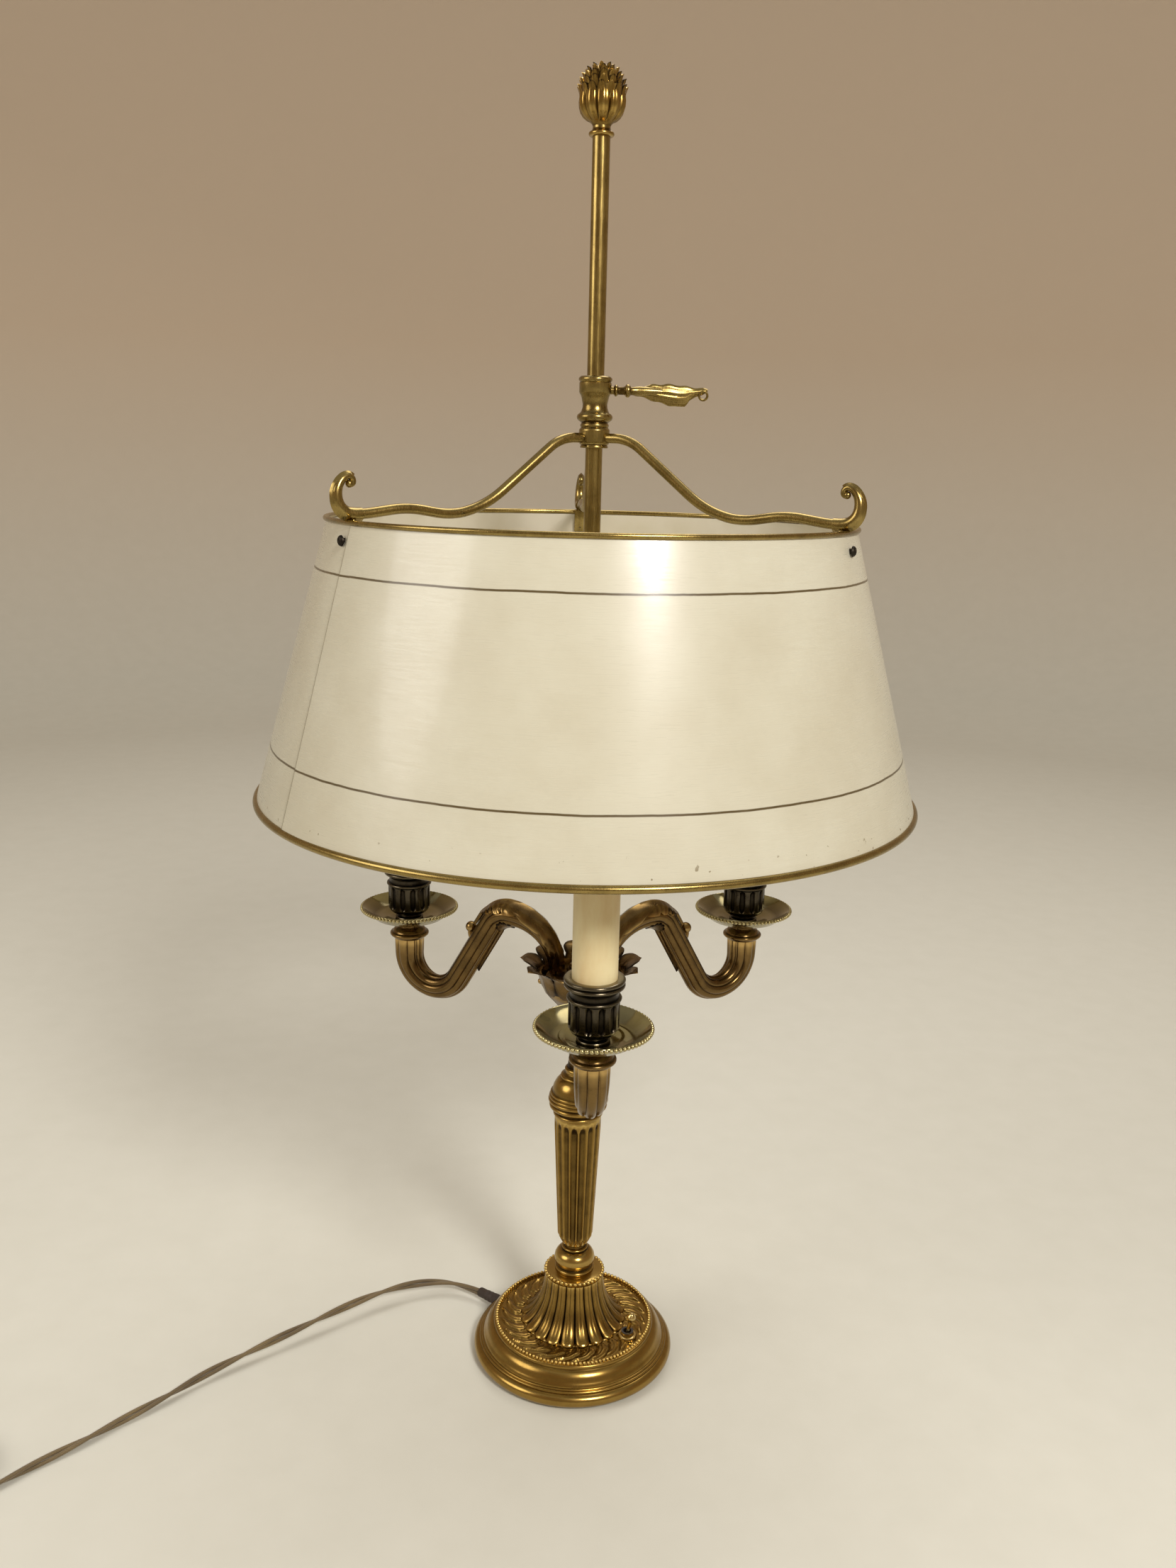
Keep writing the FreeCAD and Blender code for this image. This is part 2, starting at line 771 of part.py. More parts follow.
def make_cup(name):
    """Candle cup: foot, body and flared lip."""
    base = "cup_base"
    bore = "sleeve_radius + socket_play"
    lip = base + " + cup_height"
    corners = [
        ("nipple_radius + rod_play", base),
        ("cup_foot", base),
        ("cup_foot - 1.6", base + " + 3.4"),
        ("cup_radius", base + " + 8.4"),
        ("cup_radius", base + " + 26.8"),
        ("cup_lip", lip + " - 3"),
        ("cup_lip - 0.6", lip),
        (bore, lip),
        (bore, "sleeve_base"),
        ("nipple_radius + rod_play", "sleeve_base"),
    ]
    return turned(name, corners)


def make_sleeve(name):
    inner = "sleeve_radius - sleeve_wall"
    corners = [(inner, "sleeve_base"), ("sleeve_radius", "sleeve_base"), ("sleeve_radius", "sleeve_top"),
               (inner, "sleeve_top")]
    return turned(name, corners)


def make_nipple(name):
    low = "pan_seat - nipple_depth"
    top = "holder_base + 4"
    corners = [("nipple_bore", low), ("nipple_radius", low), ("nipple_radius", top), ("nipple_bore", top)]
    return turned(name, corners)


def make_holder(name):
    """Candle lampholder, standing on the nipple, with its deep socket."""
    top = "holder_base + holder_height"
    bore = "screw_cap_radius + 0.25"
    corners = [
        ("nipple_radius + thread_play", "holder_base"),
        ("holder_radius", "holder_base"),
        ("holder_radius", top),
        (bore, top),
        (bore, "cap_seat"),
        ("0", "cap_seat"),
        ("0", "holder_base + 4.2"),
        ("nipple_radius + thread_play", "holder_base + 4.2"),
    ]
    return turned(name, corners)


def make_screw_cap(name):
    corners = [
        ("0", "cap_seat"),
        ("2.4", "cap_seat"),
        ("screw_cap_radius", "cap_seat + 4"),
        ("screw_cap_radius", "cap_seat + screw_cap_height"),
        ("bulb_neck", "cap_seat + screw_cap_height + 1.2"),
        ("bulb_neck", "glass_base"),
        ("0", "glass_base"),
    ]
    return turned(name, corners)


def make_glass(name):
    """Candle-shaped glass, open at its neck where the cap closes it."""
    base = "glass_base"
    corners = [
        ("bulb_neck - 1 - bulb_wall", base),
        ("bulb_neck - 1", base),
        ("bulb_radius * 0.84", base + " + bulb_height * 0.18"),
        ("bulb_radius", base + " + bulb_height * 0.40"),
        ("bulb_radius * 0.70", base + " + bulb_height * 0.74"),
        ("0", base + " + bulb_height"),
        ("0", base + " + bulb_height - bulb_wall * 2.4"),
        ("bulb_radius - bulb_wall", base + " + bulb_height * 0.40"),
    ]
    return turned(name, corners)


def make_candles():
    for maker, name in ((make_pan, "drip_pan"), (make_cup, "candle_cup"), (make_sleeve, "candle_sleeve")):
        for piece in on_each_candle(name, maker):
            keep(piece)
    keep_group("candle_nipples", on_each_candle("nipple", make_nipple))
    keep_group("lampholders", on_each_candle("holder", make_holder))
    keep_group("bulb_caps", on_each_candle("bulb_cap", make_screw_cap))
    keep_group("bulb_glasses", on_each_candle("bulb_glass", make_glass))


# Stem and finial


def make_stem():
    corners = [("0", "stem_base"), ("stem_radius", "stem_base"), ("stem_radius", "stem_top"), ("0", "stem_top")]
    keep(turned("stem_rod", corners))


def make_finial():
    """Bud finial: small collar and a lobed, pointed bud."""
    base = value_of("finial_base")
    height = value_of("finial_height")
    widest = value_of("finial_radius")
    lobes = int(value_of("finial_lobes"))
    # share of the height, share of the widest radius and share of that cut by the valleys
    levels = [
        (0.00, 0.50, 0.00),
        (0.05, 0.50, 0.00),
        (0.09, 0.41, 0.00),
        (0.20, 0.45, 0.02),
        (0.27, 0.86, 0.10),
        (0.41, 1.00, 0.14),
        (0.58, 0.93, 0.15),
        (0.76, 0.64, 0.17),
        (1.00, 0.10, 0.20),
    ]
    rings = []
    for share, wide, cut in levels:
        rings.append(lobed_ring(widest * wide, widest * wide * cut, lobes, base + share * height))
    bud = faceted_solid(rings)
    hole = Part.makeCylinder(value_of("stem_radius + thread_play"), value_of("stem_top - finial_base") + 1,
                             FreeCAD.Vector(0, 0, base - 0.8))
    keep(shaped("finial", bud.cut(hole)))


# Slide, clamp key and carrier


def make_slide():
    """Brass liner that slides on the stem, and the collar that turns on it."""
    liner_top = "slider_top - 1"
    corners = [
        ("liner_inner", "slide_base"),
        ("liner_flange", "slide_base"),
        ("liner_flange", "ring_base"),
        ("liner_outer", "ring_base"),
        ("liner_outer", liner_top),
        ("liner_inner", liner_top),
    ]
    keep(turned("slide_liner", corners))

    base = "slider_base"
    corners = [
        ("slider_bore", base),
        ("ring_radius - 1.2", base),
        ("ring_radius - 1.2", base + " + 2.8"),
        ("collar_bead", base + " + 5"),
        ("collar_bead", base + " + 7.4"),
        ("collar_waist", base + " + 10.6"),
        ("collar_waist", base + " + 14.4"),
        ("collar_radius", base + " + 17"),
        ("collar_radius", "slider_top"),
        ("slider_bore", "slider_top"),
    ]
    body = turned("slider_collar", corners)
    doc.recompute()
    hole = disc(body, "key_hole", "key_radius + key_play", x="0", y=base + " + key_height + 2.4",
                role="YZ_Plane")
    cut_through(body, "key_hole_cut", hole, "collar_radius + 4", backwards=True)
    keep(body)


def make_key():
    """Clamp key: screw stem, bead and a flat cast leaf for the thumb."""
    body = new_body("clamp_key")
    stem = outline(body, "key_stem", [
        ("slider_bore + 0.1", "0"),
        ("slider_bore + 0.1", "key_radius"),
        ("key_bead_place - 2", "key_radius"),
        ("key_bead_place - 1", "key_bead"),
        ("key_bead_place + 1", "key_bead"),
        ("key_bead_place + 2", "key_radius"),
        ("key_bead_place + 12", "key_radius"),
        ("key_bead_place + 12", "0"),
    ])
    feature(body, "Revolution", "key_stem_turned", stem, ReferenceAxis=(stem, ["H_Axis"]), Angle=360.0)
    start = "key_bead_place + 3"
    leaf = outline(body, "key_leaf", [
        (start, "-key_radius * 0.8"),
        (start + " + key_leaf_length * 0.30", "-5"),
        (start + " + key_leaf_length * 0.62", "-8"),
        (start + " + key_leaf_length * 0.76", "-6.4"),
        (start + " + key_leaf_length * 0.76", "-4.4"),
        (start + " + key_leaf_length * 0.88", "-3.6"),
        (start + " + key_leaf_length * 0.90", "-1.8"),
        (start + " + key_leaf_length", "-0.4"),
        (start + " + key_leaf_length", "1.8"),
        (start + " + key_leaf_length * 0.78", "2.6"),
        (start + " + key_leaf_length * 0.62", "3.6"),
        (start + " + key_leaf_length * 0.28", "4"),
        (start, "key_radius * 0.8"),
    ])
    pad = feature(body, "Pad", "key_leaf_pad", leaf)
    pad.Midplane = True
    bound_length(pad, "Length", "key_leaf_thick")
    body.Placement = FreeCAD.Placement(FreeCAD.Vector(0, 0, value_of("slider_base + key_height + 2.4")),
                                       FreeCAD.Rotation())
    body.setExpression("Placement.Base.z", bind("slider_base + key_height + 2.4"))
    keep(body)


def make_ring():
    corners = [
        ("slider_bore", "ring_base"),
        ("ring_radius", "ring_base"),
        ("ring_radius", "slider_base"),
        ("slider_bore", "slider_base"),
    ]
    body = turned("carrier_ring", corners)
    doc.recompute()
    hole = disc(body, "arm_socket", "carrier_radius + thread_play", x="0", y="carrier_height", role="YZ_Plane",
                lift="ring_radius - socket_depth")
    cut = cut_through(body, "arm_socket_cut", hole, "socket_depth + 1", backwards=True)
    around(body, "arm_sockets", cut, "3")
    body.Placement = turn_about_z(-30)
    keep(body)


def rounded_path(points, radii):
    """Straight runs joined by tangent arcs of the given radii."""
    edges = []
    start = points[0]
    for index in range(1, len(points) - 1):
        before = (points[index - 1] - points[index]).normalize()
        after = (points[index + 1] - points[index]).normalize()
        half = before.getAngle(after) / 2
        cut = radii[index - 1] / math.tan(half)
        first = points[index] + before * cut
        last = points[index] + after * cut
        bisector = (before + after).normalize()
        middle = points[index] + bisector * (radii[index - 1] / math.sin(half) - radii[index - 1])
        edges.append(Part.LineSegment(start, first).toShape())
        edges.append(Part.Arc(first, middle, last).toShape())
        start = last
    edges.append(Part.LineSegment(start, points[-1]).toShape())
    return Part.Wire(edges)


def faceted_ring(place, direction, radius, count):
    """A closed section of equal flats, square to a path in the XZ plane."""
    across = FreeCAD.Vector(-direction.z, 0, direction.x)
    side = FreeCAD.Vector(0, 1, 0)
    corners = []
    for step in range(count):
        turn = 2 * math.pi * (step + 0.5) / count
        corners.append(place + across * (radius * math.cos(turn)) + side * (radius * math.sin(turn)))
    return corners


def faceted_rod(path, radius, count, arc_steps):
    """A rod of flats along a path, with a section at each end of a run and some along each arc."""
    rings = []
    for edge in path.Edges:
        steps = 1 if edge.Curve.TypeId == "Part::GeomLine" else arc_steps
        for step in range(steps):
            place = edge.FirstParameter + (edge.LastParameter - edge.FirstParameter) * step / steps
            rings.append(faceted_ring(edge.valueAt(place), edge.tangentAt(place), radius, count))
    last = path.Edges[-1]
    rings.append(faceted_ring(last.valueAt(last.LastParameter), last.tangentAt(last.LastParameter), radius, count))
    return faceted_solid(rings)


def make_carriers():
    """Three bent rods from the ring to the shade's rim, each with a leaf scroll and a lug for the screw."""
    level = value_of("carrier_height")
    half = value_of("carrier_radius")
    rest = value_of("rim_top") + half + value_of("seat_gap")
    rim = value_of("shade_top_radius")
    start = value_of("ring_radius - socket_depth") + 0.1
    span = rim - start
    points = [
        FreeCAD.Vector(start, 0, level),
        FreeCAD.Vector(start + 0.105 * span, 0, level),
        FreeCAD.Vector(start + 0.445 * span, 0, rest + 3.0),
        FreeCAD.Vector(start + 0.590 * span, 0, rest - 0.6),
        FreeCAD.Vector(start + 0.760 * span, 0, rest + 3.4),
        FreeCAD.Vector(start + 0.925 * span, 0, rest),
        FreeCAD.Vector(rim - 5, 0, rest),
    ]
    radii = [share * span for share in (0.184, 0.424, 0.368, 0.424, 0.424)]
    rod = faceted_rod(rounded_path(points, radii), half, 10, 3)
    width = value_of("lug_width")
    slope = value_of("(shade_foot_radius - shade_top_radius) / (shade_top - shade_foot)")
    inner = rim - value_of("shade_wall") - 0.15
    low = value_of("rim_top - lug_length")
    drop = value_of("shade_top") - low
    thick = value_of("lug_thick")
    inside_wire = rim - value_of("(shade_wall + wire_width) / 2") - 0.2
    top = rest - half + 0.6
    step = value_of("wire_width") * 0.4
    profile = [(inner + slope * drop, low), (inner + slope * step, low + drop - step), (inside_wire, low + drop),
               (inside_wire, top), (inside_wire - thick, top), (inside_wire - thick, low + drop),
               (inner + slope * drop - thick, low)]
    corners = [FreeCAD.Vector(reach, -width / 2, height) for reach, height in profile]
    corners.append(corners[0])
    lug = Part.Face(Part.makePolygon(corners)).extrude(FreeCAD.Vector(0, width, 0))
    leaf_half = width * 0.42
    scroll = [(-9, -half), (1, 0.4), (5.2, 6.5), (4.4, 14.5), (2.6, 20.6),
              (-2.6, 17), (-2.2, 9), (-5.4, 4.4), (-10, half)]
    corners = [FreeCAD.Vector(rim + reach, -leaf_half, rest + rise) for reach, rise in scroll]
    corners.append(corners[0])
    leaf = Part.Face(Part.makePolygon(corners)).extrude(FreeCAD.Vector(0, 2 * leaf_half, 0))
    screw_height = value_of("shade_top - screw_depth")
    screw = Part.makeCylinder(value_of("shade_screw_radius + thread_play"), 2 * width,
                              FreeCAD.Vector(rim - width, 0, screw_height), FreeCAD.Vector(1, 0, 0))
    carrier = rod.fuse([lug, leaf]).cut(screw)
    for name, angle in CARRIERS:
        piece = shaped("shade_arm_" + name, carrier)
        piece.Placement = turn_about_z(angle)
        keep(piece)


# Shade


def make_shade():
    """Painted sheet cone between a wire on its top edge and a rolled brass rim at its foot."""
    corners = [
        ("shade_foot_radius - shade_wall", "shade_foot"),
        ("shade_foot_radius", "shade_foot"),
        ("shade_top_radius", "shade_top"),
        ("shade_top_radius - shade_wall", "shade_top"),
    ]
    body = turned("shade_shell", corners)
    doc.recompute()
    hole = disc(body, "screw_hole", "shade_screw_radius + thread_play", x="0", y="shade_top - screw_depth",
                role="YZ_Plane", lift="shade_top_radius - 12")
    cut = cut_through(body, "screw_hole_cut", hole, "30", backwards=True)
    around(body, "screw_holes", cut, "3")
    body.Placement = turn_about_z(-30)
    keep(body)

    middle = "shade_top_radius - shade_wall / 2"
    keep(turned("shade_top_wire", [
        (middle + " - wire_width / 4", "shade_top"),
        (middle + " + wire_width / 4", "shade_top"),
        (middle + " + wire_width / 2", "shade_top + wire_width / 2"),
        (middle + " + wire_width / 4", "rim_top"),
        (middle + " - wire_width / 4", "rim_top"),
        (middle + " - wire_width / 2", "shade_top + wire_width / 2"),
    ]))
    middle = "shade_foot_radius - shade_wall / 2"
    keep(turned("shade_foot_roll", [
        (middle + " - roll_width / 4", "shade_foot - roll_width"),
        (middle + " + roll_width / 4", "shade_foot - roll_width"),
        (middle + " + roll_width / 2", "shade_foot - roll_width / 2"),
        (middle + " + roll_width / 4", "shade_foot"),
        (middle + " - roll_width / 4", "shade_foot"),
        (middle + " - roll_width / 2", "shade_foot - roll_width / 2"),
    ]))


def make_shade_screws():
    """Three round-headed screws through the shade into the lugs."""
    slope = value_of("(shade_foot_radius - shade_top_radius) / (shade_top - shade_foot)")
    face = value_of("shade_top_radius") + slope * (value_of("screw_depth") + value_of("screw_head_radius")) + 0.05
    head = value_of("screw_head_height")
    shank = value_of("lug_thick") + face - value_of("shade_top_radius") + 1
    height = value_of("shade_top - screw_depth")
    screw = Part.makeCylinder(value_of("shade_screw_radius"), shank, FreeCAD.Vector(face - shank, 0, height),
                              FreeCAD.Vector(1, 0, 0))
    dome = Part.makeCone(value_of("screw_head_radius"), value_of("screw_head_radius") * 0.6, head,
                         FreeCAD.Vector(face, 0, height), FreeCAD.Vector(1, 0, 0))
    pieces = []
    for name, angle in CARRIERS:
        piece = shaped("shade_screw_" + name, screw.fuse(dome).removeSplitter())
        piece.Placement = turn_about_z(angle)
        pieces.append(piece)
    keep_group("shade_screws", pieces)


# Switch


def make_switch():
    """Toggle switch under the dish: body with threaded bush, ring nut and lever."""
    circle = value_of("switch_circle")
    angle = value_of("switch_angle")
    body = new_body("switch_body")
    case = outline(body, "switch_case", [
        ("-switch_length / 2", "-switch_width / 2"),
        ("switch_length / 2", "-switch_width / 2"),
        ("switch_length / 2", "switch_width / 2"),
        ("-switch_length / 2", "switch_width / 2"),
    ], role="XY_Plane", lift="web_under - seat_gap - switch_depth")
    pad = feature(body, "Pad", "switch_case_pad", case)
    bound_length(pad, "Length", "switch_depth")
    bush = disc(body, "switch_bush_outline", "switch_bush", lift="web_under - seat_gap - 1")
    pad = feature(body, "Pad", "switch_bush_pad", bush)
    bound_length(pad, "Length", "switch_top - web_under + seat_gap + 1")
    bore = disc(body, "switch_bore", "toggle_root + switch_play", lift="switch_top")
    cut_through(body, "switch_bore_cut", bore, "switch_top - toggle_pivot + toggle_root + 0.6")
    pivot = disc(body, "pivot_hole", "pivot_radius + switch_play", x="0", y="toggle_pivot", role="XZ_Plane")
    cut_through(body, "pivot_hole_cut", pivot, "switch_bush * 2 + 1", both=True)
    body.Placement = turn_about_z(angle, circle)
    keep(body)

    nut = turned("switch_nut", [
        ("switch_bush + thread_play", "foot_height"),
        ("switch_nut_radius", "foot_height"),
        ("switch_nut_radius", "foot_height + switch_nut_height - 0.6"),
        ("switch_nut_radius - 0.6", "foot_height + switch_nut_height"),
        ("switch_bush + thread_play", "foot_height + switch_nut_height"),
    ])
    nut.Placement = turn_about_z(angle, circle)
    keep(nut)

    lever = turned("switch_toggle", [
        ("0", "-toggle_root"),
        ("toggle_root * 0.75", "-toggle_root * 0.6"),
        ("toggle_root", "0"),
        ("toggle_half", "toggle_root * 0.9"),
        ("toggle_half", "toggle_length - toggle_ball * 0.9"),
        ("toggle_ball * 0.95", "toggle_length - toggle_ball * 0.3"),
        ("toggle_ball * 0.8", "toggle_length + toggle_ball * 0.6"),
        ("0", "toggle_length + toggle_ball"),
    ])
    pin = disc(lever, "pivot_pin", "pivot_radius", role="XZ_Plane")
    pad = feature(lever, "Pad", "pivot_pin_pad", pin)
    pad.Midplane = True
    bound_length(pad, "Length", "switch_bush * 1.8")
    turn = FreeCAD.Rotation(FreeCAD.Vector(0, 0, 1), angle)
    tilt = FreeCAD.Rotation(FreeCAD.Vector(0, 1, 0), value_of("toggle_tilt"))
    place = turn.multVec(FreeCAD.Vector(circle, 0, value_of("toggle_pivot")))
    lever.Placement = FreeCAD.Placement(place, turn.multiply(tilt))
    keep(lever)


# Cord, coil and plug

# The lead's route over the table, from inside the foot to the coil.
LEAD_ROUTE = [
    (-73.0, 59.1, 6.0),
    (-97.0, 60.8, 9.0),
    (-128.0, 49.0, 11.0),
    (-160.0, 26.5, 10.4),
    (-196.0, -0.5, 8.4),
    (-232.0, -26.5, 5.6),
    (-262.0, -55.0, 3.6),
    (-296.0, -86.0, 2.75),
    (-331.0, -117.0, 2.75),
    (-361.0, -144.0, 2.75),
]
COIL_FLOOR = 0.5
JOINT_GAP = 0.12


def lead_points():
    """The route with its start inside the foot's bush and its end at the coil."""
    angle = math.radians(value_of("exit_angle"))
    inside = value_of("foot_radius") - 6
    start = FreeCAD.Vector(inside * math.cos(angle), inside * math.sin(angle), value_of("exit_height"))
    points = [start] + [FreeCAD.Vector(*point) for point in LEAD_ROUTE]
    points[-1] -= (points[-1] - points[-2]).normalize() * JOINT_GAP
    return points


def make_bush():
    """Tapered rubber bush in the foot's cord hole."""
    inner = value_of("foot_radius") - 2 - value_of("rim_wall")
    bore = value_of("cord_radius") + 0.1
    shape = ring_solid([
        (bore, 0),
        (value_of("bush_radius"), 0),
        (value_of("bush_radius"), value_of("rim_wall") + 3.6),
        (value_of("bush_nose"), value_of("bush_length")),
        (bore, value_of("bush_length")),
    ])
    piece = shaped("cord_bush", shape)
    angle = value_of("exit_angle")
    turn = FreeCAD.Rotation(FreeCAD.Vector(0, 0, 1), angle)
    lay = FreeCAD.Rotation(FreeCAD.Vector(0, 1, 0), 90)
    place = turn.multVec(FreeCAD.Vector(inner, 0, value_of("exit_height")))
    piece.Placement = FreeCAD.Placement(place, turn.multiply(lay))
    keep(piece)


def swept_tube(path, radius, direction):
    """A round tube along a path that starts in the given direction."""
    start = path.Edges[0].valueAt(path.Edges[0].FirstParameter)
    circle = Part.Wire(Part.Circle(start, direction, radius).toShape())
    return path.makePipeShell([circle], True, False)


def make_lead():
    points = lead_points()
    radii = []
    for index in range(1, len(points) - 1):
        before = points[index] - points[index - 1]
        after = points[index + 1] - points[index]
        turn = before.getAngle(after)
        radii.append(0.45 * min(before.Length, after.Length) / math.tan(turn / 2))
    print("lead bend radii", [round(radius) for radius in radii])
    path = rounded_path(points, radii)
    direction = (points[1] - points[0]).normalize()
    tube = swept_tube(path, value_of("cord_radius"), direction)
    section = math.pi * value_of("cord_radius") ** 2
    print("lead volume over section times length", round(tube.Volume / section / path.Length, 4))
    keep(shaped("cord_lead", tube))
    return path.Length


def coil_frame():
    """The coil's centre and the angle at which the lead meets it."""
    end = FreeCAD.Vector(*LEAD_ROUTE[-1])
    before = FreeCAD.Vector(*LEAD_ROUTE[-2])
    ahead = end - before
    ahead.z = 0
    ahead.normalize()
    inward = FreeCAD.Vector(ahead.y, -ahead.x, 0)
    centre = end + inward * value_of("coil_radius")
    centre.z = 0
    start = math.atan2(end.y - centre.y, end.x - centre.x)
    return centre, start, ahead


def coil_point(turns):
    """Place and direction after so many turns: in on the lower layer, up, and out on the upper one."""
    centre, start, _ = coil_frame()
    inward = value_of("coil_turns")
    pitch = value_of("coil_pitch")
    outer = value_of("coil_radius")
    low = COIL_FLOOR + value_of("cord_radius") * math.cos(math.pi / 6)
    climb = 0.5
    if turns <= inward:
        radius, growth, level, lift = outer - pitch * turns, -pitch, low, 0.0
    elif turns <= inward + climb:
        share = (turns - inward) / climb
        radius = outer - pitch * (inward + climb * share * (1 - share))
        growth = pitch * (2 * share - 1)
        level = low + pitch * share * share * (3 - 2 * share)
        lift = pitch * 6 * share * (1 - share) / climb
    else:
        radius = outer - pitch * (2 * inward + climb - turns)
        growth, level, lift = pitch, low + pitch, 0.0
    angle = start - 2 * math.pi * turns
    place = centre + FreeCAD.Vector(radius * math.cos(angle), radius * math.sin(angle), level)
    spin = -2 * math.pi
    along = FreeCAD.Vector(
        growth * math.cos(angle) - radius * spin * math.sin(angle),
        growth * math.sin(angle) + radius * spin * math.cos(angle),
        lift)
    return place, along.normalize()


def tangent_arc(start, along, end):
    """The arc from start, in the direction along, to end."""
    chord = end - start
    bend = along.getAngle(chord)
    side = (chord - along * chord.dot(along))
    if side.Length < 1e-9:
        return Part.LineSegment(start, end).toShape()
    side.normalize()
    radius = chord.Length / 2 / math.sin(bend)
    centre = start + side * radius
    middle = centre + (start + end - centre * 2).normalize() * radius
    return Part.Arc(start, middle, end).toShape()


def biarc(start, start_along, end, end_along):
    """Two tangent arcs between two places with given directions."""
    chord = end - start
    total = start_along + end_along
    spread = 2 * (1 - start_along.dot(end_along))
    ahead = chord.dot(total)
    reach = (-ahead + math.sqrt(ahead * ahead + spread * chord.dot(chord))) / spread
    middle = (start + end + (start_along - end_along) * reach) * 0.5
    first = tangent_arc(start, start_along, middle)
    last = tangent_arc(end, end_along * -1, middle)
    last.reverse()
    return [first, last]


def hexagon(place, along, radius):
    """A six-sided section square to the cord, with flats above and below."""
    up = FreeCAD.Vector(0, 0, 1)
    side = along.cross(up).normalize()
    corners = []
    for step in range(6):
        turn = math.pi / 3 * step
        corners.append(place + side * (radius * math.cos(turn)) + up * (radius * math.sin(turn)))
    corners.append(corners[0])
    return Part.makePolygon(corners)


def make_coil():
    """The put-away length as one unbroken tube: loops in two layers, with a straight tail to the plug."""
    turns = 2 * value_of("coil_turns") + 0.5
    quarters = round(turns * 4)
    places = [coil_point(turns * step / quarters) for step in range(quarters + 1)]
    radius = value_of("cord_radius")
    first, first_along = places[0]
    last, last_along = places[-1]
    edges = []
    for step in range(quarters):
        edges += biarc(*places[step], *places[step + 1])
    tail = last + last_along * value_of("tail_length")
    edges.append(Part.LineSegment(last, tail).toShape())
    path = Part.Wire(Part.__sortEdges__(edges))
    shell = Part.BRepOffsetAPI.MakePipeShell(path)
    shell.add(hexagon(first, first_along, radius))
    shell.build()
    shell.makeSolid()
    solid = shell.shape()
    samples = []
    count = 400
    for step in range(count + 1):
        samples.append((turns * step / count, coil_point(turns * step / count)[0]))
    gaps = []
    for near in range(0, count + 1, 2):
        for far in range(near + 30, count + 1):
            gaps.append(samples[near][1].distanceToPoint(samples[far][1]))
    print("coil least gap to itself", round(min(gaps) - 2 * radius, 2))
    print("coil length", round(path.Length), "solid valid", solid.isValid())
    keep(shaped("cord_coil", solid))
    return path.Length, tail, last_along


def make_tie():
    """A flat strap round the bundle of turns."""
    centre, start, _ = coil_frame()
    strap = value_of("tie_strap")
    width = value_of("tie_width")
    pitch = value_of("coil_pitch")
    radius = value_of("cord_radius")
    inner = value_of("coil_radius") - pitch * value_of("coil_turns") - radius - 1.5
    outer = value_of("coil_radius") + radius + 0.8
    low = COIL_FLOOR - 0.05
    top = COIL_FLOOR + pitch + 2 * radius + 0.3
    whole = Part.makeBox(outer - inner + 2 * strap, width, top - low + 2 * strap,
                         FreeCAD.Vector(inner - strap, -width / 2, low - strap))
    hollow = Part.makeBox(outer - inner, width + 2, top - low, FreeCAD.Vector(inner, -width / 2 - 1, low))
    piece = shaped("cord_tie", whole.cut(hollow))
    turn = FreeCAD.Rotation(FreeCAD.Vector(0, 0, 1), math.degrees(start) + 150)
    piece.Placement = FreeCAD.Placement(centre, turn)
    keep(piece)


def make_plug(end, along):
    """Flat two-pin plug with a tapered neck, and its pins."""
    body = new_body("plug_body")
    neck = "cord_radius + 0.9"
    case = outline(body, "plug_case", [
        ("0", "-(" + neck + ")"),
        ("plug_neck", "-(" + neck + " + 1.6)"),
        ("plug_neck + 3", "-(plug_width / 2 - 5)"),
        ("plug_neck + 10", "-plug_width / 2"),
        ("plug_neck + plug_length", "-plug_width / 2"),
        ("plug_neck + plug_length", "plug_width / 2"),
        ("plug_neck + 10", "plug_width / 2"),
        ("plug_neck + 3", "plug_width / 2 - 5"),
        ("plug_neck", neck + " + 1.6"),
        ("0", neck),
    ], role="XY_Plane")
    pad = feature(body, "Pad", "plug_case_pad", case)
    pad.Midplane = True
    bound_length(pad, "Length", "plug_thick")
    side = outline(body, "plug_side", [
        ("-1", "cord_radius + 0.9"),
        ("plug_neck", "cord_radius + 2.5"),
        ("plug_neck + 6", "plug_thick / 2"),
        ("plug_neck + 6", "plug_thick / 2 + 1"),
        ("-1", "plug_thick / 2 + 1"),
    ], role="XZ_Plane")
    upper = cut_through(body, "plug_upper_cut", side, "plug_width + 2", both=True)
    mirror = body.newObject("PartDesign::Mirrored", "plug_lower_cut")
    mirror.Originals = [upper]
    mirror.MirrorPlane = (plane_of(body, "XY_Plane"), [""])
    body.Tip = mirror
    doc.recompute()
    turn = FreeCAD.Rotation(FreeCAD.Vector(0, 0, 1), math.degrees(math.atan2(along.y, along.x)))
    body.Placement = FreeCAD.Placement(end, turn)
    keep(body)
    pins = []
    for name, side_way in (("near", -0.5), ("far", 0.5)):
        pin = doc.addObject("Part::Cylinder", "plug_pin_" + name)
        pin.setExpression("Radius", bind("pin_radius"))
        pin.setExpression("Height", bind("pin_length"))
        reach = value_of("plug_neck + plug_length")
        place = FreeCAD.Placement(
            FreeCAD.Vector(reach, side_way * value_of("pin_spacing"), 0),
            FreeCAD.Rotation(FreeCAD.Vector(0, 1, 0), 90))
        pin.Placement = FreeCAD.Placement(end, turn).multiply(place)
        pins.append(pin)
    keep_group("plug_pins", pins)


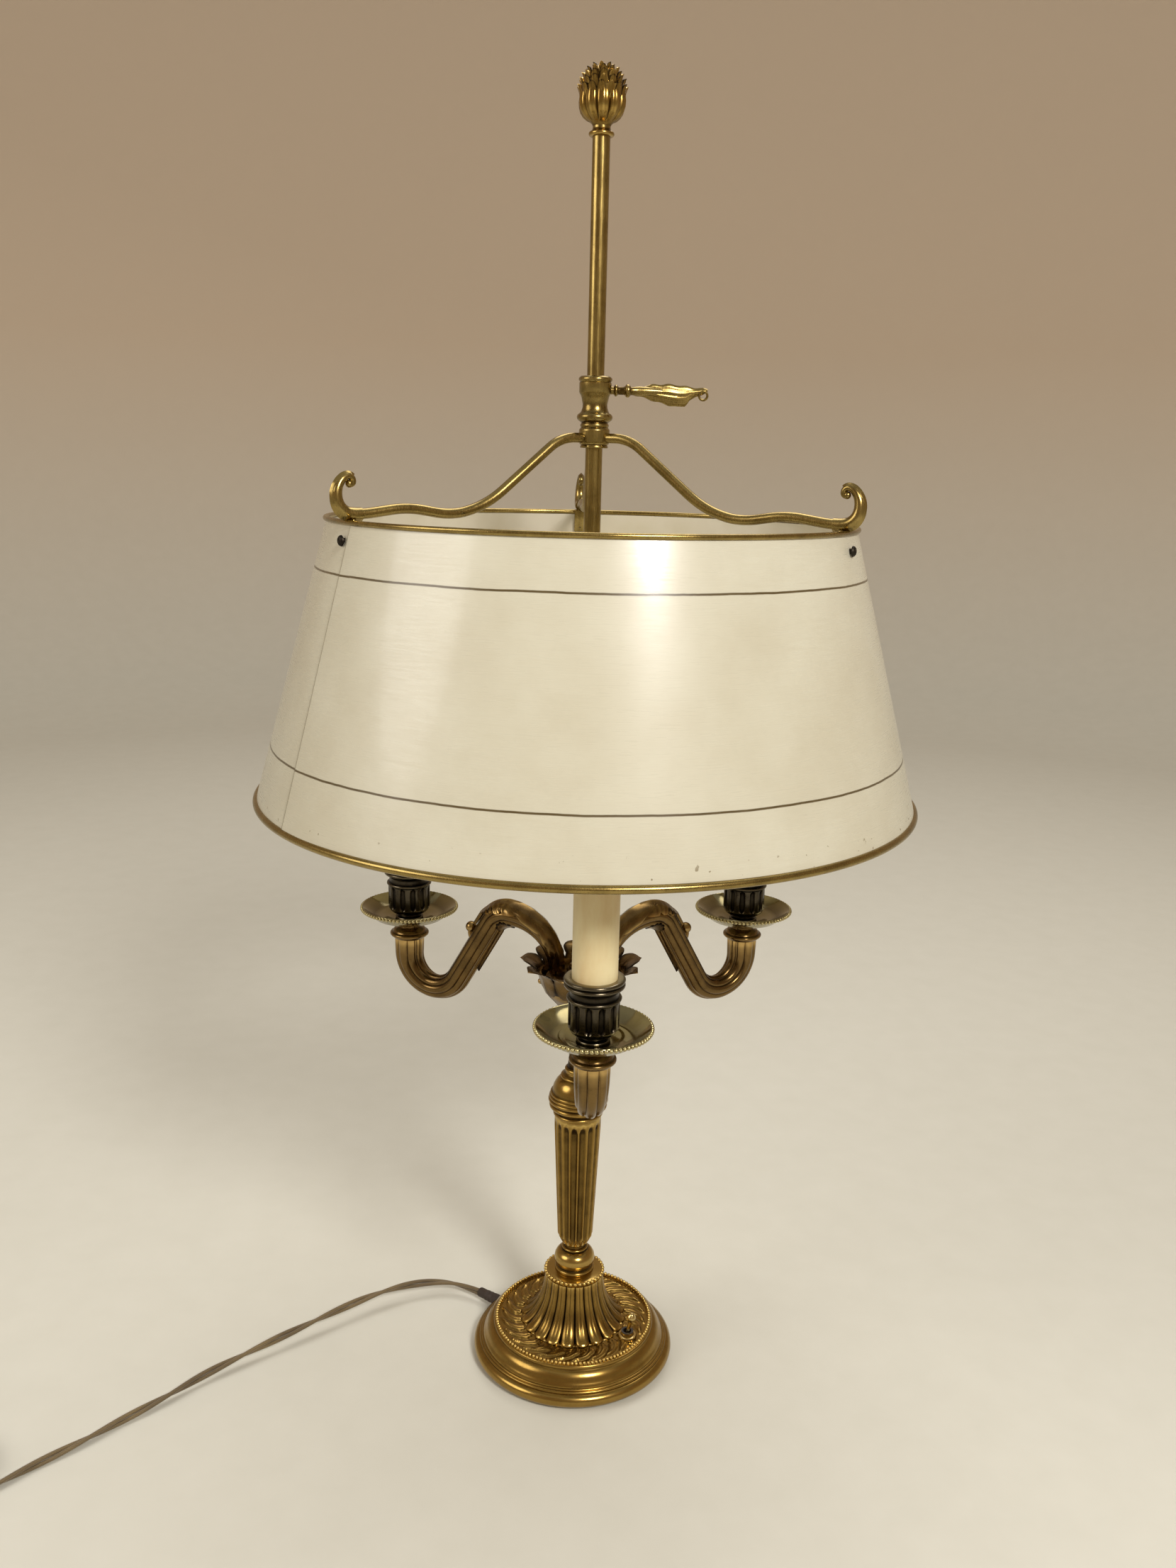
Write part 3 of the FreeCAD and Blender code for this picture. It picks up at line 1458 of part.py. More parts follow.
def check_and_write():
    """Every object must be whole before any file is written."""
    doc.recompute()
    for item in doc.Objects:
        if "Invalid" in item.State or "Error" in item.State:
            raise ValueError(f"{item.Label} failed: {item.State}")
    for piece in KEPT:
        shape = piece.Shape
        if shape.isNull() or not shape.isValid() or shape.Volume <= 0:
            raise ValueError(f"{piece.Label} has no valid shape")
    os.makedirs("parts", exist_ok=True)
    for piece in KEPT:
        piece.Shape.exportStep("parts/" + piece.Label + ".step")
    print(len(KEPT), "nodes written")


make_felt()
make_foot()
make_bell()
make_rod_set()
make_knob()
make_column()
make_cap()
make_hub()
make_arms()
make_candles()
make_stem()
make_finial()
make_slide()
make_key()
make_ring()
make_carriers()
make_shade()
make_shade_screws()
make_switch()
make_bush()
lead_length = make_lead()
coil_length, tail_end, tail_along = make_coil()
make_tie()
make_plug(tail_end, tail_along)
print("cord length outside the foot", round(lead_length + coil_length))
check_and_write()
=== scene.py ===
import math

import bmesh
import bpy
from mathutils import Matrix, Vector
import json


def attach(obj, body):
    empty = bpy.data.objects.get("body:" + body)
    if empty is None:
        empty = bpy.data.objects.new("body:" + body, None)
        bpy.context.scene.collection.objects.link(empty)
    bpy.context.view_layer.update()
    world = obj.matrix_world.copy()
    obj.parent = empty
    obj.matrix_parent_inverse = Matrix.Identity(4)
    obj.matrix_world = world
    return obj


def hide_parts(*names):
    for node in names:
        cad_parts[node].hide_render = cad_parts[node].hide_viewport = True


# Bouillotte lamp. Every length below is in millimetres until a piece is finished.
MM = 0.001

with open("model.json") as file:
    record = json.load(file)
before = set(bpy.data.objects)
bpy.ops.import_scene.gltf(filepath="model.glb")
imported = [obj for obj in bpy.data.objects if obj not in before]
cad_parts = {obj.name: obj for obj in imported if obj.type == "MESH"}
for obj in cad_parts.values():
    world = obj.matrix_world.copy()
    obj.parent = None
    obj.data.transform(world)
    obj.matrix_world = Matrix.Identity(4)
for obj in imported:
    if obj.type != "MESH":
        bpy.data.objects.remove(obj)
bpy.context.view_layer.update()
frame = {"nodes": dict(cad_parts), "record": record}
scene = bpy.context.scene

# Turns about the lamp's axis, in degrees, and the circles that parts stand on.
CANDLES = (("front", -90), ("right", 30), ("left", 150))
CARRIERS = (("back", 90), ("left", 210), ("right", -30))
CANDLE_CIRCLE = 130
SEAM = -148.2
LAP = 4.2
SWITCH_TURN = -34
SWITCH_CIRCLE = 41.75
CORD_EXIT = 141


# Camera


CAMERA_PLACE = (-0.0433, -0.7842, 0.58085)
CAMERA_AHEAD = (0.0552, 0.9704, -0.2352)
CAMERA_ROLL = 1.405
LENS = 30.51


def place_camera():
    """The photograph's own viewpoint, on its 1659 x 2212 frame."""
    data = bpy.data.cameras.new("photo_camera")
    data.sensor_fit = "VERTICAL"
    data.sensor_height = 36
    data.lens = LENS
    data.clip_start = 0.02
    camera = bpy.data.objects.new("photo_camera", data)
    scene.collection.objects.link(camera)
    ahead = Vector(CAMERA_AHEAD).normalized()
    right = ahead.cross(Vector((0, 0, 1))).normalized()
    up = right.cross(ahead)
    roll = math.radians(CAMERA_ROLL)
    turned_right = right * math.cos(roll) + up * math.sin(roll)
    turned_up = up * math.cos(roll) - right * math.sin(roll)
    matrix = Matrix((turned_right, turned_up, -ahead)).transposed().to_4x4()
    matrix.translation = Vector(CAMERA_PLACE)
    camera.matrix_world = matrix
    scene.camera = camera


# Materials


def colour(code):
    """A linear colour from an sRGB hex value."""
    parts = [int(code[start:start + 2], 16) / 255 for start in (1, 3, 5)]
    linear = [part / 12.92 if part <= 0.04045 else ((part + 0.055) / 1.055) ** 2.4 for part in parts]
    return (*linear, 1.0)


def feed(tree, node, inputs):
    """Sets a node's inputs: a number or a colour as it is, another node's socket by a link."""
    for name, value in inputs.items():
        if isinstance(value, bpy.types.NodeSocket):
            tree.links.new(value, node.inputs[name])
        else:
            node.inputs[name].default_value = value


def add(tree, kind, settings=None, inputs=None):
    """One new node."""
    node = tree.nodes.new(kind)
    for name, value in (settings or {}).items():
        setattr(node, name, value)
    feed(tree, node, inputs or {})
    return node


def new_material(name):
    """A material with its tree, its shader and the place on the lamp that patterns are laid by."""
    material = bpy.data.materials.new(name)
    material.use_nodes = True
    tree = material.node_tree
    shader = tree.nodes["Principled BSDF"]
    place = add(tree, "ShaderNodeTexCoord").outputs["Object"]
    return material, tree, shader, place


def patches(tree, place, size, detail=4.0, rough=0.55, stretch=None):
    """Soft noise whose patches are about size millimetres across, from 0 to 1."""
    if stretch:
        place = add(tree, "ShaderNodeMapping", None, {"Vector": place, "Scale": stretch}).outputs["Vector"]
    noise = add(tree, "ShaderNodeTexNoise", None,
                {"Vector": place, "Scale": 1 / (size * MM), "Detail": detail, "Roughness": rough})
    return noise.outputs["Fac"]


def spread(tree, value, low, high, to_low=0.0, to_high=1.0):
    """value from low to high, brought to another range."""
    inputs = {"Value": value, "From Min": low, "From Max": high, "To Min": to_low, "To Max": to_high}
    return add(tree, "ShaderNodeMapRange", None, inputs).outputs["Result"]


def blended(tree, share, first, second):
    """The first colour where share is 0, the second where it is 1."""
    return add(tree, "ShaderNodeMix", {"data_type": "RGBA"}, {0: share, 6: first, 7: second}).outputs[2]


def mixed(tree, first, second, how="ADD", limited=True):
    """Two values worked together, kept from 0 to 1 if limited."""
    settings = {"operation": how, "use_clamp": limited}
    return add(tree, "ShaderNodeMath", settings, {0: first, 1: second}).outputs[0]


def bumped(tree, height, strength, depth):
    """A surface whose height varies by up to depth millimetres."""
    inputs = {"Height": height, "Strength": strength, "Distance": depth * MM}
    return add(tree, "ShaderNodeBump", None, inputs).outputs["Normal"]


def hollowness(tree):
    """What mark_recesses has written: above 0 in grooves, below 0 on ridges."""
    return add(tree, "ShaderNodeAttribute", {"attribute_name": "recess"}).outputs["Fac"]


def patinated(name, bright, dark, rubbed, smooth, dull, mottle=9.0, patina=1.0, grain=0.05):
    """Cast and gilt brass: dark wax, tarnished patina and painted shade in the hollows, rubbed pale on the
    ridges.
    """
    material, tree, shader, place = new_material(name)
    hollow = hollowness(tree)
    fine = patches(tree, place, 1.2, 5.0, 0.7)
    # The hollows darken with dark patina and with painted shade; blotches and specks vary the tone.
    deep = spread(tree, hollow, 0.02, 0.22)
    blotch = spread(tree, patches(tree, place, mottle), 0.42, 0.72, 0.0, 0.45 * patina)
    speck = spread(tree, fine, 0.50, 0.75, 0.0, 0.30 * patina)
    tarnish_and_shade = mixed(tree, mixed(tree, deep, blotch), speck)
    ridge = spread(tree, hollow, -0.04, -0.24)
    body = blended(tree, tarnish_and_shade, colour(bright), colour(dark))
    matt = mixed(tree, tarnish_and_shade, mixed(tree, ridge, 0.5, "MULTIPLY"), "SUBTRACT")
    feed(tree, shader, {
        "Base Color": blended(tree, mixed(tree, ridge, 0.8, "MULTIPLY"), body, colour(rubbed)),
        "Roughness": spread(tree, matt, 0.0, 1.0, smooth, dull),
        "Metallic": 1.0,
        "Normal": bumped(tree, fine, 0.5, grain)})
    return material


def satin_brass(name, bright, tarnished, smooth, dull, stretch):
    """Drawn and turned brass under old lacquer: soft streaks along the work, a few brown spots and painted
    shade in the hollows.
    """
    material, tree, shader, place = new_material(name)
    streaks = patches(tree, place, 0.5, 3.0, 0.6, stretch)
    cloud = spread(tree, patches(tree, place, 14), 0.45, 0.75, 0.0, 0.55)
    spots = spread(tree, patches(tree, place, 2.2, 3.0), 0.64, 0.74, 0.0, 0.35)
    # Brown cloud and spots, darkened further in the hollows by painted shade.
    brown = mixed(tree, mixed(tree, cloud, spots), spread(tree, hollowness(tree), 0.02, 0.20))
    feed(tree, shader, {
        "Base Color": blended(tree, brown, colour(bright), colour(tarnished)),
        "Roughness": spread(tree, streaks, 0.3, 0.7, smooth, dull),
        "Metallic": 1.0,
        "Normal": bumped(tree, streaks, 0.25, 0.02)})
    return material


def line_across(tree, value, middle, none, full, most=1.0):
    """A mark from none to full strength as value comes near middle."""
    away = mixed(tree, mixed(tree, value, middle, "SUBTRACT", False), 0.0, "ABSOLUTE", False)
    return spread(tree, away, none, full, 0.0, most)


def shade_enamel():
    """Ivory stoving enamel on sheet: glossy, gone yellow, with brush marks, two drawn lines and chips."""
    material, tree, shader, place = new_material("ivory_enamel")
    axes = add(tree, "ShaderNodeSeparateXYZ", None, {"Vector": place}).outputs
    height = axes["Z"]
    level = patches(tree, place, 16, 4.0, 0.6, (1, 1, 22))
    cloud = spread(tree, patches(tree, place, 55), 0.35, 0.7)
    base = blended(tree, cloud, colour("#ccc9b7"), colour("#c2bda9"))
    base = blended(tree, spread(tree, level, 0.35, 0.7, 0.0, 0.22), base, colour("#b3ac93"))
    waver = spread(tree, patches(tree, place, 30), 0.3, 0.7, -0.25 * MM, 0.25 * MM)
    drawn = [line_across(tree, height, mixed(tree, waver, line * MM, "ADD", False), 0.75 * MM, 0.35 * MM)
             for line in (521, 420.5)]
    base = blended(tree, mixed(tree, *drawn), base, colour("#54462a"))
    # A thin dark line along the lap's edge: dirt caught in the lap and a painted shadow of the lapped edge.
    around = mixed(tree, axes["Y"], axes["X"], "ARCTAN2", False)
    seam_dirt_and_shadow = line_across(tree, around, math.radians(SEAM), math.radians(0.34), math.radians(0.12), 0.7)
    base = blended(tree, seam_dirt_and_shadow, base, colour("#6f6750"))
    foot = spread(tree, height, 405 * MM, 390 * MM)
    chips = spread(tree, patches(tree, place, 3.2, 2.0), 0.71, 0.74)
    feed(tree, shader, {
        "Base Color": blended(tree, mixed(tree, foot, chips, "MULTIPLY"), base, colour("#6e5c36")),
        "Roughness": spread(tree, level, 0.3, 0.7, 0.24, 0.36),
        "IOR": 1.52,
        "Coat Weight": 0.35,
        "Coat Roughness": 0.12,
        "Normal": bumped(tree, level, 0.08, 0.03)})
    return material


def plain_paint(name, first, second, size, smooth, dull, ior=1.5, grain=0.03, metal=False):
    """Moulded or painted matter, or plain metal, with slow colour change and a fine surface grain."""
    material, tree, shader, place = new_material(name)
    cloud = spread(tree, patches(tree, place, size), 0.3, 0.7)
    fine = patches(tree, place, 0.6, 3.0, 0.65)
    feed(tree, shader, {
        "Base Color": blended(tree, cloud, colour(first), colour(second)),
        "Roughness": spread(tree, fine, 0.3, 0.7, smooth, dull),
        "Normal": bumped(tree, fine, 0.3, grain)})
    feed(tree, shader, {"Metallic": 1.0} if metal else {"IOR": ior})
    return material


def card_sleeve():
    """Waxed card candle tube: cream, browner towards its top, with a soft wax sheen."""
    material, tree, shader, place = new_material("waxed_card")
    height = add(tree, "ShaderNodeSeparateXYZ", None, {"Vector": place}).outputs["Z"]
    cloud = spread(tree, patches(tree, place, 18, 4.0, 0.6, (1, 1, 0.35)), 0.4, 0.75, 0.0, 0.45)
    # Browner towards the top, with cloudy patches.
    browner_upwards = mixed(tree, spread(tree, height, 345 * MM, 392 * MM, 0.0, 0.55), cloud)
    fibre = patches(tree, place, 0.8, 4.0, 0.7)
    feed(tree, shader, {
        "Base Color": blended(tree, browner_upwards, colour("#ddd0a6"), colour("#b98e4c")),
        "Roughness": spread(tree, fibre, 0.3, 0.7, 0.36, 0.50),
        "IOR": 1.45,
        "Subsurface Weight": 0.08,
        "Subsurface Radius": (0.002, 0.0012, 0.0006),
        "Normal": bumped(tree, fibre, 0.2, 0.03)})
    return material


def wool_felt():
    """Pressed wool felt: matte, with short tangled fibres and a faint sheen at grazing angles."""
    material, tree, shader, place = new_material("wool_felt")
    fibre = patches(tree, place, 0.7, 6.0, 0.75)
    feed(tree, shader, {
        "Base Color": blended(tree, spread(tree, fibre, 0.3, 0.7), colour("#2f3a2c"), colour("#4a5541")),
        "Roughness": 0.95,
        "Sheen Weight": 0.3,
        "Normal": bumped(tree, fibre, 0.8, 0.3)})
    return material


def clear_glass():
    """Blown lime glass of a clear candle bulb, thin and faintly uneven."""
    material, tree, shader, place = new_material("clear_glass")
    wave = patches(tree, place, 22, 2.0)
    feed(tree, shader, {
        "Base Color": colour("#f6f7f4"),
        "Roughness": spread(tree, wave, 0.3, 0.7, 0.02, 0.06),
        "IOR": 1.5,
        "Transmission Weight": 1.0,
        "Normal": bumped(tree, wave, 0.1, 0.1)})
    return material


def braided_textile():
    """Rayon braid over each core: gold threads with painted shade in the gaps between them, drawn 1.4 mm
    apart so that they show.
    """
    material, tree, shader, place = new_material("rayon_braid")
    lengths = add(tree, "ShaderNodeUVMap", {"uv_map": "along"}).outputs["UV"]
    thread_gap = 1.4
    threads = []
    for slant in (45, -45):
        slanted = add(tree, "ShaderNodeMapping", None,
                      {"Vector": lengths, "Rotation": (0, 0, math.radians(slant))}).outputs["Vector"]
        wave = add(tree, "ShaderNodeTexWave", {"wave_type": "BANDS", "bands_direction": "X"},
                   {"Vector": slanted, "Scale": 2 * math.pi / (thread_gap * 10), "Distortion": 0.3})
        threads.append(wave.outputs["Fac"])
    weave = mixed(tree, *threads, "MAXIMUM", False)
    tint = spread(tree, patches(tree, place, 26), 0.3, 0.7)
    gold = blended(tree, tint, colour("#86724a"), colour("#665435"))
    feed(tree, shader, {
        # Dark where the threads leave gaps: painted shade between the threads.
        "Base Color": blended(tree, spread(tree, weave, 0.2, 0.9), colour("#2c2215"), gold),
        "Roughness": 0.55,
        "Sheen Weight": 0.35,
        "IOR": 1.46,
        "Normal": bumped(tree, weave, 0.5, 0.2)})
    return material


MATERIALS = {
    "felt": wool_felt(),
    "gilt_bronze": patinated("antique_gilt_brass", "#9a7c40", "#291c0d", "#d0b26a", 0.22, 0.46, 9.0, 0.5,
                             0.03),
    "arm_bronze": patinated("cast_gilding_metal", "#725b37", "#241a10", "#c4a468", 0.22, 0.42, 12.0, 0.8,
                            0.03),
    "pan_brass": patinated("polished_brass", "#8f8560", "#4b4230", "#bcb083", 0.08, 0.24, 22.0, 0.5, 0.01),
    "cup_bronze": patinated("oxidised_bronze", "#4d463a", "#15110d", "#a3977c", 0.22, 0.42, 8.0, 0.8),
    "stem_brass": satin_brass("lacquered_brass", "#9b8650", "#5e4b27", 0.18, 0.32, (1, 1, 0.04)),
    "zinc_steel": plain_paint("zinc_plated_steel", "#9a9a96", "#7f8078", 9, 0.32, 0.5, metal=True),
    "sleeve_card": card_sleeve(),
    "holder_plastic": plain_paint("black_phenolic", "#191614", "#241f1b", 12, 0.26, 0.42, 1.6),
    "bulb_glass": clear_glass(),
    "bulb_cap_metal": plain_paint("rolled_aluminium", "#b8b8b2", "#9c9c94", 6, 0.22, 0.38,
                                  grain=0.02, metal=True),
    "shade_paint": shade_enamel(),
    "screw_steel": plain_paint("blackened_steel", "#3a352e", "#241f1a", 3, 0.35, 0.55, metal=True),
    "switch_metal": satin_brass("polished_switch_brass", "#cdb67c", "#8f7238", 0.12, 0.22, (1, 1, 0.3)),
    "cord_textile": braided_textile(),
    "cord_rubber": plain_paint("brown_rubber", "#2a201a", "#382b22", 7, 0.55, 0.75, 1.52, 0.05),
    "tie_plastic": plain_paint("black_nylon", "#1d1b19", "#292623", 8, 0.4, 0.55, 1.53),
    "plug_plastic": plain_paint("brown_phenolic", "#2f1e14", "#402a1b", 14, 0.22, 0.36, 1.6),
    "plug_pin_metal": satin_brass("turned_pin_brass", "#d2bd86", "#a58a50", 0.16, 0.28, (1, 1, 1)),
}
SHADE_INSIDE = plain_paint("white_inside_paint", "#d9d3c2", "#cbc3ab", 40, 0.42, 0.6)
FILAMENT = plain_paint("tungsten_wire", "#5a5752", "#73706a", 2, 0.3, 0.5, grain=0.01, metal=True)


# Tools for the pieces


def mark_recesses(bm):
    """Writes how hollow the surface is at each vertex: below 0 on a ridge, above 0 in a groove."""
    bm.normal_update()
    layer = bm.verts.layers.float.new("recess")
    cuts = bm.verts.layers.float.get("cut")
    neighbours = {vert: [edge.other_vert(vert) for edge in vert.link_edges] for vert in bm.verts}
    hollows = {}
    for vert, others in neighbours.items():
        if not others:
            hollows[vert] = 0.0
            continue
        middle = sum((other.co for other in others), Vector()) / len(others)
        reach = sum((other.co - vert.co).length for other in others) / len(others)
        hollows[vert] = (middle - vert.co).dot(vert.normal) / max(reach, 1e-6)
    smoothings = 2
    for _ in range(smoothings):
        hollows = {vert: 0.5 * value + 0.5 * sum(hollows[other] for other in neighbours[vert])
                   / len(neighbours[vert]) if neighbours[vert] else value
                   for vert, value in hollows.items()}
    # Cut flutes and slots count as extra hollow, so they take more dark patina and painted shade.
    darkest = 0.12
    for vert, value in hollows.items():
        if cuts:
            value += darkest * min(1.0, vert[cuts])
        vert[layer] = max(-1.0, min(1.0, value))


def piece(name, bm, slot, nodes=(), body="lamp", edge_angle=42, more=()):
    """Finishes a bmesh in millimetres as a piece of the lamp."""
    mark_recesses(bm)
    bm.transform(Matrix.Scale(MM, 4))
    mesh = bpy.data.meshes.new(name)
    bm.to_mesh(mesh)
    bm.free()
    mesh.shade_smooth()
    mesh.set_sharp_from_angle(angle=math.radians(edge_angle))
    for material in (MATERIALS[slot], *more):
        mesh.materials.append(material)
    item = bpy.data.objects.new(name, mesh)
    scene.collection.objects.link(item)
    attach(item, body)
    if nodes:
        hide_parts(*nodes)
    return item


def profile(corners):
    """(radius, height) points. A corner's third number bows the line after it: 1 is a half circle."""
    points = []
    for near, far in zip(corners, corners[1:]):
        start = Vector(near[:2])
        end = Vector(far[:2])
        points.append(start)
        bow = near[2] if len(near) > 2 else 0
        if not bow:
            continue
        chord = end - start
        whole = 4 * math.atan(bow)
        across = Vector((-chord.y, chord.x))
        centre = (start + end) / 2 + across * ((1 - bow * bow) / (4 * bow))
        steps = max(3, math.ceil(abs(whole) / 0.35))
        for step in range(1, steps):
            turn = Matrix.Rotation(whole * step / steps, 2)
            points.append(centre + turn @ (start - centre))
    points.append(Vector(corners[-1][:2]))
    return points


def turned(corners, steps=96, closed=False):
    """A form turned about Z, from a profile that starts and ends on the axis or closes on itself."""
    bm = bmesh.new()
    verts = [bm.verts.new((point.x, 0, point.y)) for point in profile(corners)]
    edges = [bm.edges.new(pair) for pair in zip(verts, verts[1:])]
    if closed:
        edges.append(bm.edges.new((verts[-1], verts[0])))
    bmesh.ops.spin(bm, geom=verts + edges, cent=(0, 0, 0), axis=(0, 0, 1), angle=2 * math.pi, steps=steps,
                   use_merge=True)
    bmesh.ops.remove_doubles(bm, verts=bm.verts, dist=0.0005)
    bmesh.ops.recalc_face_normals(bm, faces=bm.faces)
    return bm


def carved(bm, depth):
    """Moves each vertex towards the axis by depth(turn, radius, height) and notes how deep the cut is."""
    layer = bm.verts.layers.float.new("cut")
    for vert in bm.verts:
        radius = math.hypot(vert.co.x, vert.co.y)
        if radius < 0.01:
            continue
        cut = depth(math.atan2(vert.co.y, vert.co.x), radius, vert.co.z)
        vert[layer] = max(0.0, cut)
        share = max(0.02, (radius - cut) / radius)
        vert.co.x *= share
        vert.co.y *= share
    return bm


def pearls(bm, circle, height, size, count):
    """A ring of small beads."""
    for index in range(count):
        place = Matrix.Rotation(2 * math.pi * index / count, 4, "Z") @ Matrix.Translation((circle, 0, height))
        bmesh.ops.create_uvsphere(bm, u_segments=8, v_segments=5, radius=size, matrix=place)


def merged(*parts):
    """One bmesh from several."""
    whole = parts[0]
    for part in parts[1:]:
        mesh = bpy.data.meshes.new("joined")
        part.to_mesh(mesh)
        part.free()
        whole.from_mesh(mesh)
        bpy.data.meshes.remove(mesh)
    return whole


def moved(bm, degrees, reach=0.0):
    """A copy carried out along X and turned about the lamp's axis."""
    copy = bm.copy()
    copy.transform(Matrix.Rotation(math.radians(degrees), 4, "Z") @ Matrix.Translation((reach, 0, 0)))
    return copy


def moved_to_all(bm, places, reach=0.0):
    """One form from a copy at each named turn about the lamp's axis."""
    copies = [moved(bm, angle, reach) for _, angle in places]
    bm.free()
    return merged(*copies)


def spoke(degrees):
    """Directions outwards and sideways at a turn about the lamp's axis."""
    turn = math.radians(degrees)
    return Vector((math.cos(turn), math.sin(turn), 0)), Vector((-math.sin(turn), math.cos(turn), 0))


def share_of(turn, count):
    """How far a turn is through its own one of count equal parts of the circle, from 0 to 1."""
    return turn * count / (2 * math.pi) % 1.0


def direction(points, index):
    """Where a line of points heads at one of them."""
    return (points[min(index + 1, len(points) - 1)] - points[max(index - 1, 0)]).normalized()


def swept(stations, section, caps=True, uv=False):
    """A form drawn through stations (place, side, up, size); section gives (side, up) shares of the size."""
    bm = bmesh.new()
    place, side, up, size = stations[0]
    ring = [bm.verts.new(place + side * (x * size) + up * (y * size)) for x, y in section]
    count = len(ring)
    edges = [bm.edges.new((ring[index], ring[(index + 1) % count])) for index in range(count)]
    first_edges = list(edges)
    layer = bm.loops.layers.uv.new("along") if uv else None
    travelled = 0.0
    around = [0.0]
    for index in range(count):
        chord = Vector(section[(index + 1) % count]) - Vector(section[index])
        around.append(around[-1] + chord.length * size)
    for station in stations[1:]:
        place_before = place
        place, side, up, size = station
        made = bmesh.ops.extrude_edge_only(bm, edges=edges)
        fresh = {item for item in made["geom"] if isinstance(item, bmesh.types.BMVert)}
        following = [next(edge.other_vert(vert) for edge in vert.link_edges if edge.other_vert(vert) in fresh)
                     for vert in ring]
        for vert, (x, y) in zip(following, section):
            vert.co = place + side * (x * size) + up * (y * size)
        step = (place - place_before).length
        if uv:
            order = {vert: index for row in (ring, following) for index, vert in enumerate(row)}
            for face in (item for item in made["geom"] if isinstance(item, bmesh.types.BMFace)):
                closing = {order[loop.vert] for loop in face.loops} == {0, count - 1}
                for loop in face.loops:
                    number = order[loop.vert]
                    share = around[count] if closing and number == 0 else around[number]
                    loop[layer].uv = (share, travelled + (step if loop.vert in fresh else 0.0))
        travelled += step
        ring = following
        edges = [bm.edges.get((ring[index], ring[(index + 1) % count])) for index in range(count)]
    if caps:
        bmesh.ops.contextual_create(bm, geom=first_edges)
        bmesh.ops.contextual_create(bm, geom=edges)
    bmesh.ops.recalc_face_normals(bm, faces=bm.faces)
    return bm


def round_section(count, flat=1.0):
    """A round section, or one widened sideways."""
    turns = [2 * math.pi * step / count for step in range(count)]
    return [(flat * math.cos(turn), math.sin(turn)) for turn in turns]


def along_points(points, share):
    """The place at a share of the way along a list of tuples of numbers."""
    place = max(0.0, min(1.0, share)) * (len(points) - 1)
    index = min(int(place), len(points) - 2)
    rest = place - index
    return [a + (b - a) * rest for a, b in zip(points[index], points[index + 1])]


def smooth_path(points, fine=4):
    """A finer list of tuples through the same corners, rounded (Catmull-Rom)."""
    ends = [points[0], *points, points[-1]]
    result = []
    for index in range(1, len(ends) - 2):
        p0, p1, p2, p3 = ends[index - 1:index + 3]
        for step in range(fine):
            t = step / fine
            result.append(tuple(
                0.5 * (2 * b + (c - a) * t + (2 * a - 5 * b + 4 * c - d) * t * t
                       + (3 * b - a - 3 * c + d) * t ** 3)
                for a, b, c, d in zip(p0, p1, p2, p3)))
    result.append(tuple(points[-1]))
    return result


def slab(rows, columns):
    """A flat grid from -1 to 1 with a second one joined on below it, at -1."""
    bm = bmesh.new()
    bmesh.ops.create_grid(bm, x_segments=rows, y_segments=columns, size=1)
    made = bmesh.ops.extrude_face_region(bm, geom=list(bm.faces), use_keep_orig=True)
    lower = [item for item in made["geom"] if isinstance(item, bmesh.types.BMVert)]
    bmesh.ops.translate(bm, verts=lower, vec=(0, 0, -1))
    return bm


def leaf(spine, lobes=4, rows=30, columns=12, thick=1.1, relief=0.5):
    """A cast acanthus leaf. spine(share) gives centre, out, side, distance from the centre and half width."""
    bm = slab(rows, columns)
    for vert in bm.verts:
        share = (vert.co.x + 1) / 2
        across = vert.co.y
        under = -vert.co.z * thick
        behind = max(0.0, min(1.0, share - 0.10 * abs(across) ** 2))
        centre, out, side, distance, half = spine(behind)
        teeth = abs(math.sin(math.pi * lobes * share)) ** 0.6
        width = half * (0.80 + 0.20 * teeth)
        rib = math.exp(-(across / 0.13) ** 2)
        veins = 0.5 + 0.5 * math.cos(2 * math.pi * lobes * (share - 0.12 * abs(across)) * 2)
        lift = relief * (1.1 * rib + 0.7 * veins * abs(across) - 1.2 * across ** 2
                         + 0.5 * teeth * across ** 4)
        turn = across * width / max(distance, 1.0)
        vert.co = centre + (out * math.cos(turn) + side * math.sin(turn)) * (distance + lift - under)
    bmesh.ops.recalc_face_normals(bm, faces=bm.faces)
    return bm


def crown(line, count, start, gap, half_width, *shape):
    """A ring of leaves that rise along line, a list of (radius, height)."""
    leaves = bmesh.new()
    for index in range(count):
        out, side = spoke(360 * index / count + start)

        def spine(share):
            radius, height = along_points(line, share)
            return Vector((0, 0, height)), out, side, radius + gap, half_width(share)

        leaves = merged(leaves, leaf(spine, *shape))
    return leaves


# Foot and bell


def relief_height(turn, radius):
    """Swirled leaves in a band between the bell and the pearls."""
    inner, outer, count = 35.0, 48.6, 26
    share = (radius - inner) / (outer - inner)
    if not 0 < share < 1:
        return 0.0
    u = share_of(turn + 0.34 * share * share, count) - 0.5
    lobe = 0.75 + 0.25 * abs(math.sin(3 * math.pi * share + 4 * abs(u)))
    half = 0.46 * lobe * math.sin(math.pi * min(1.0, 0.12 + share * 0.9)) ** 0.7
    body = max(0.0, 1 - (u / half) ** 2) ** 0.5 if abs(u) < half else 0.0
    rib = 0.55 * math.exp(-(u / 0.05) ** 2)
    tip = 0.7 * math.exp(-((share - 0.80) / 0.10) ** 2) * math.exp(-(u / 0.16) ** 2)
    return 1.0 * body - rib * body + tip


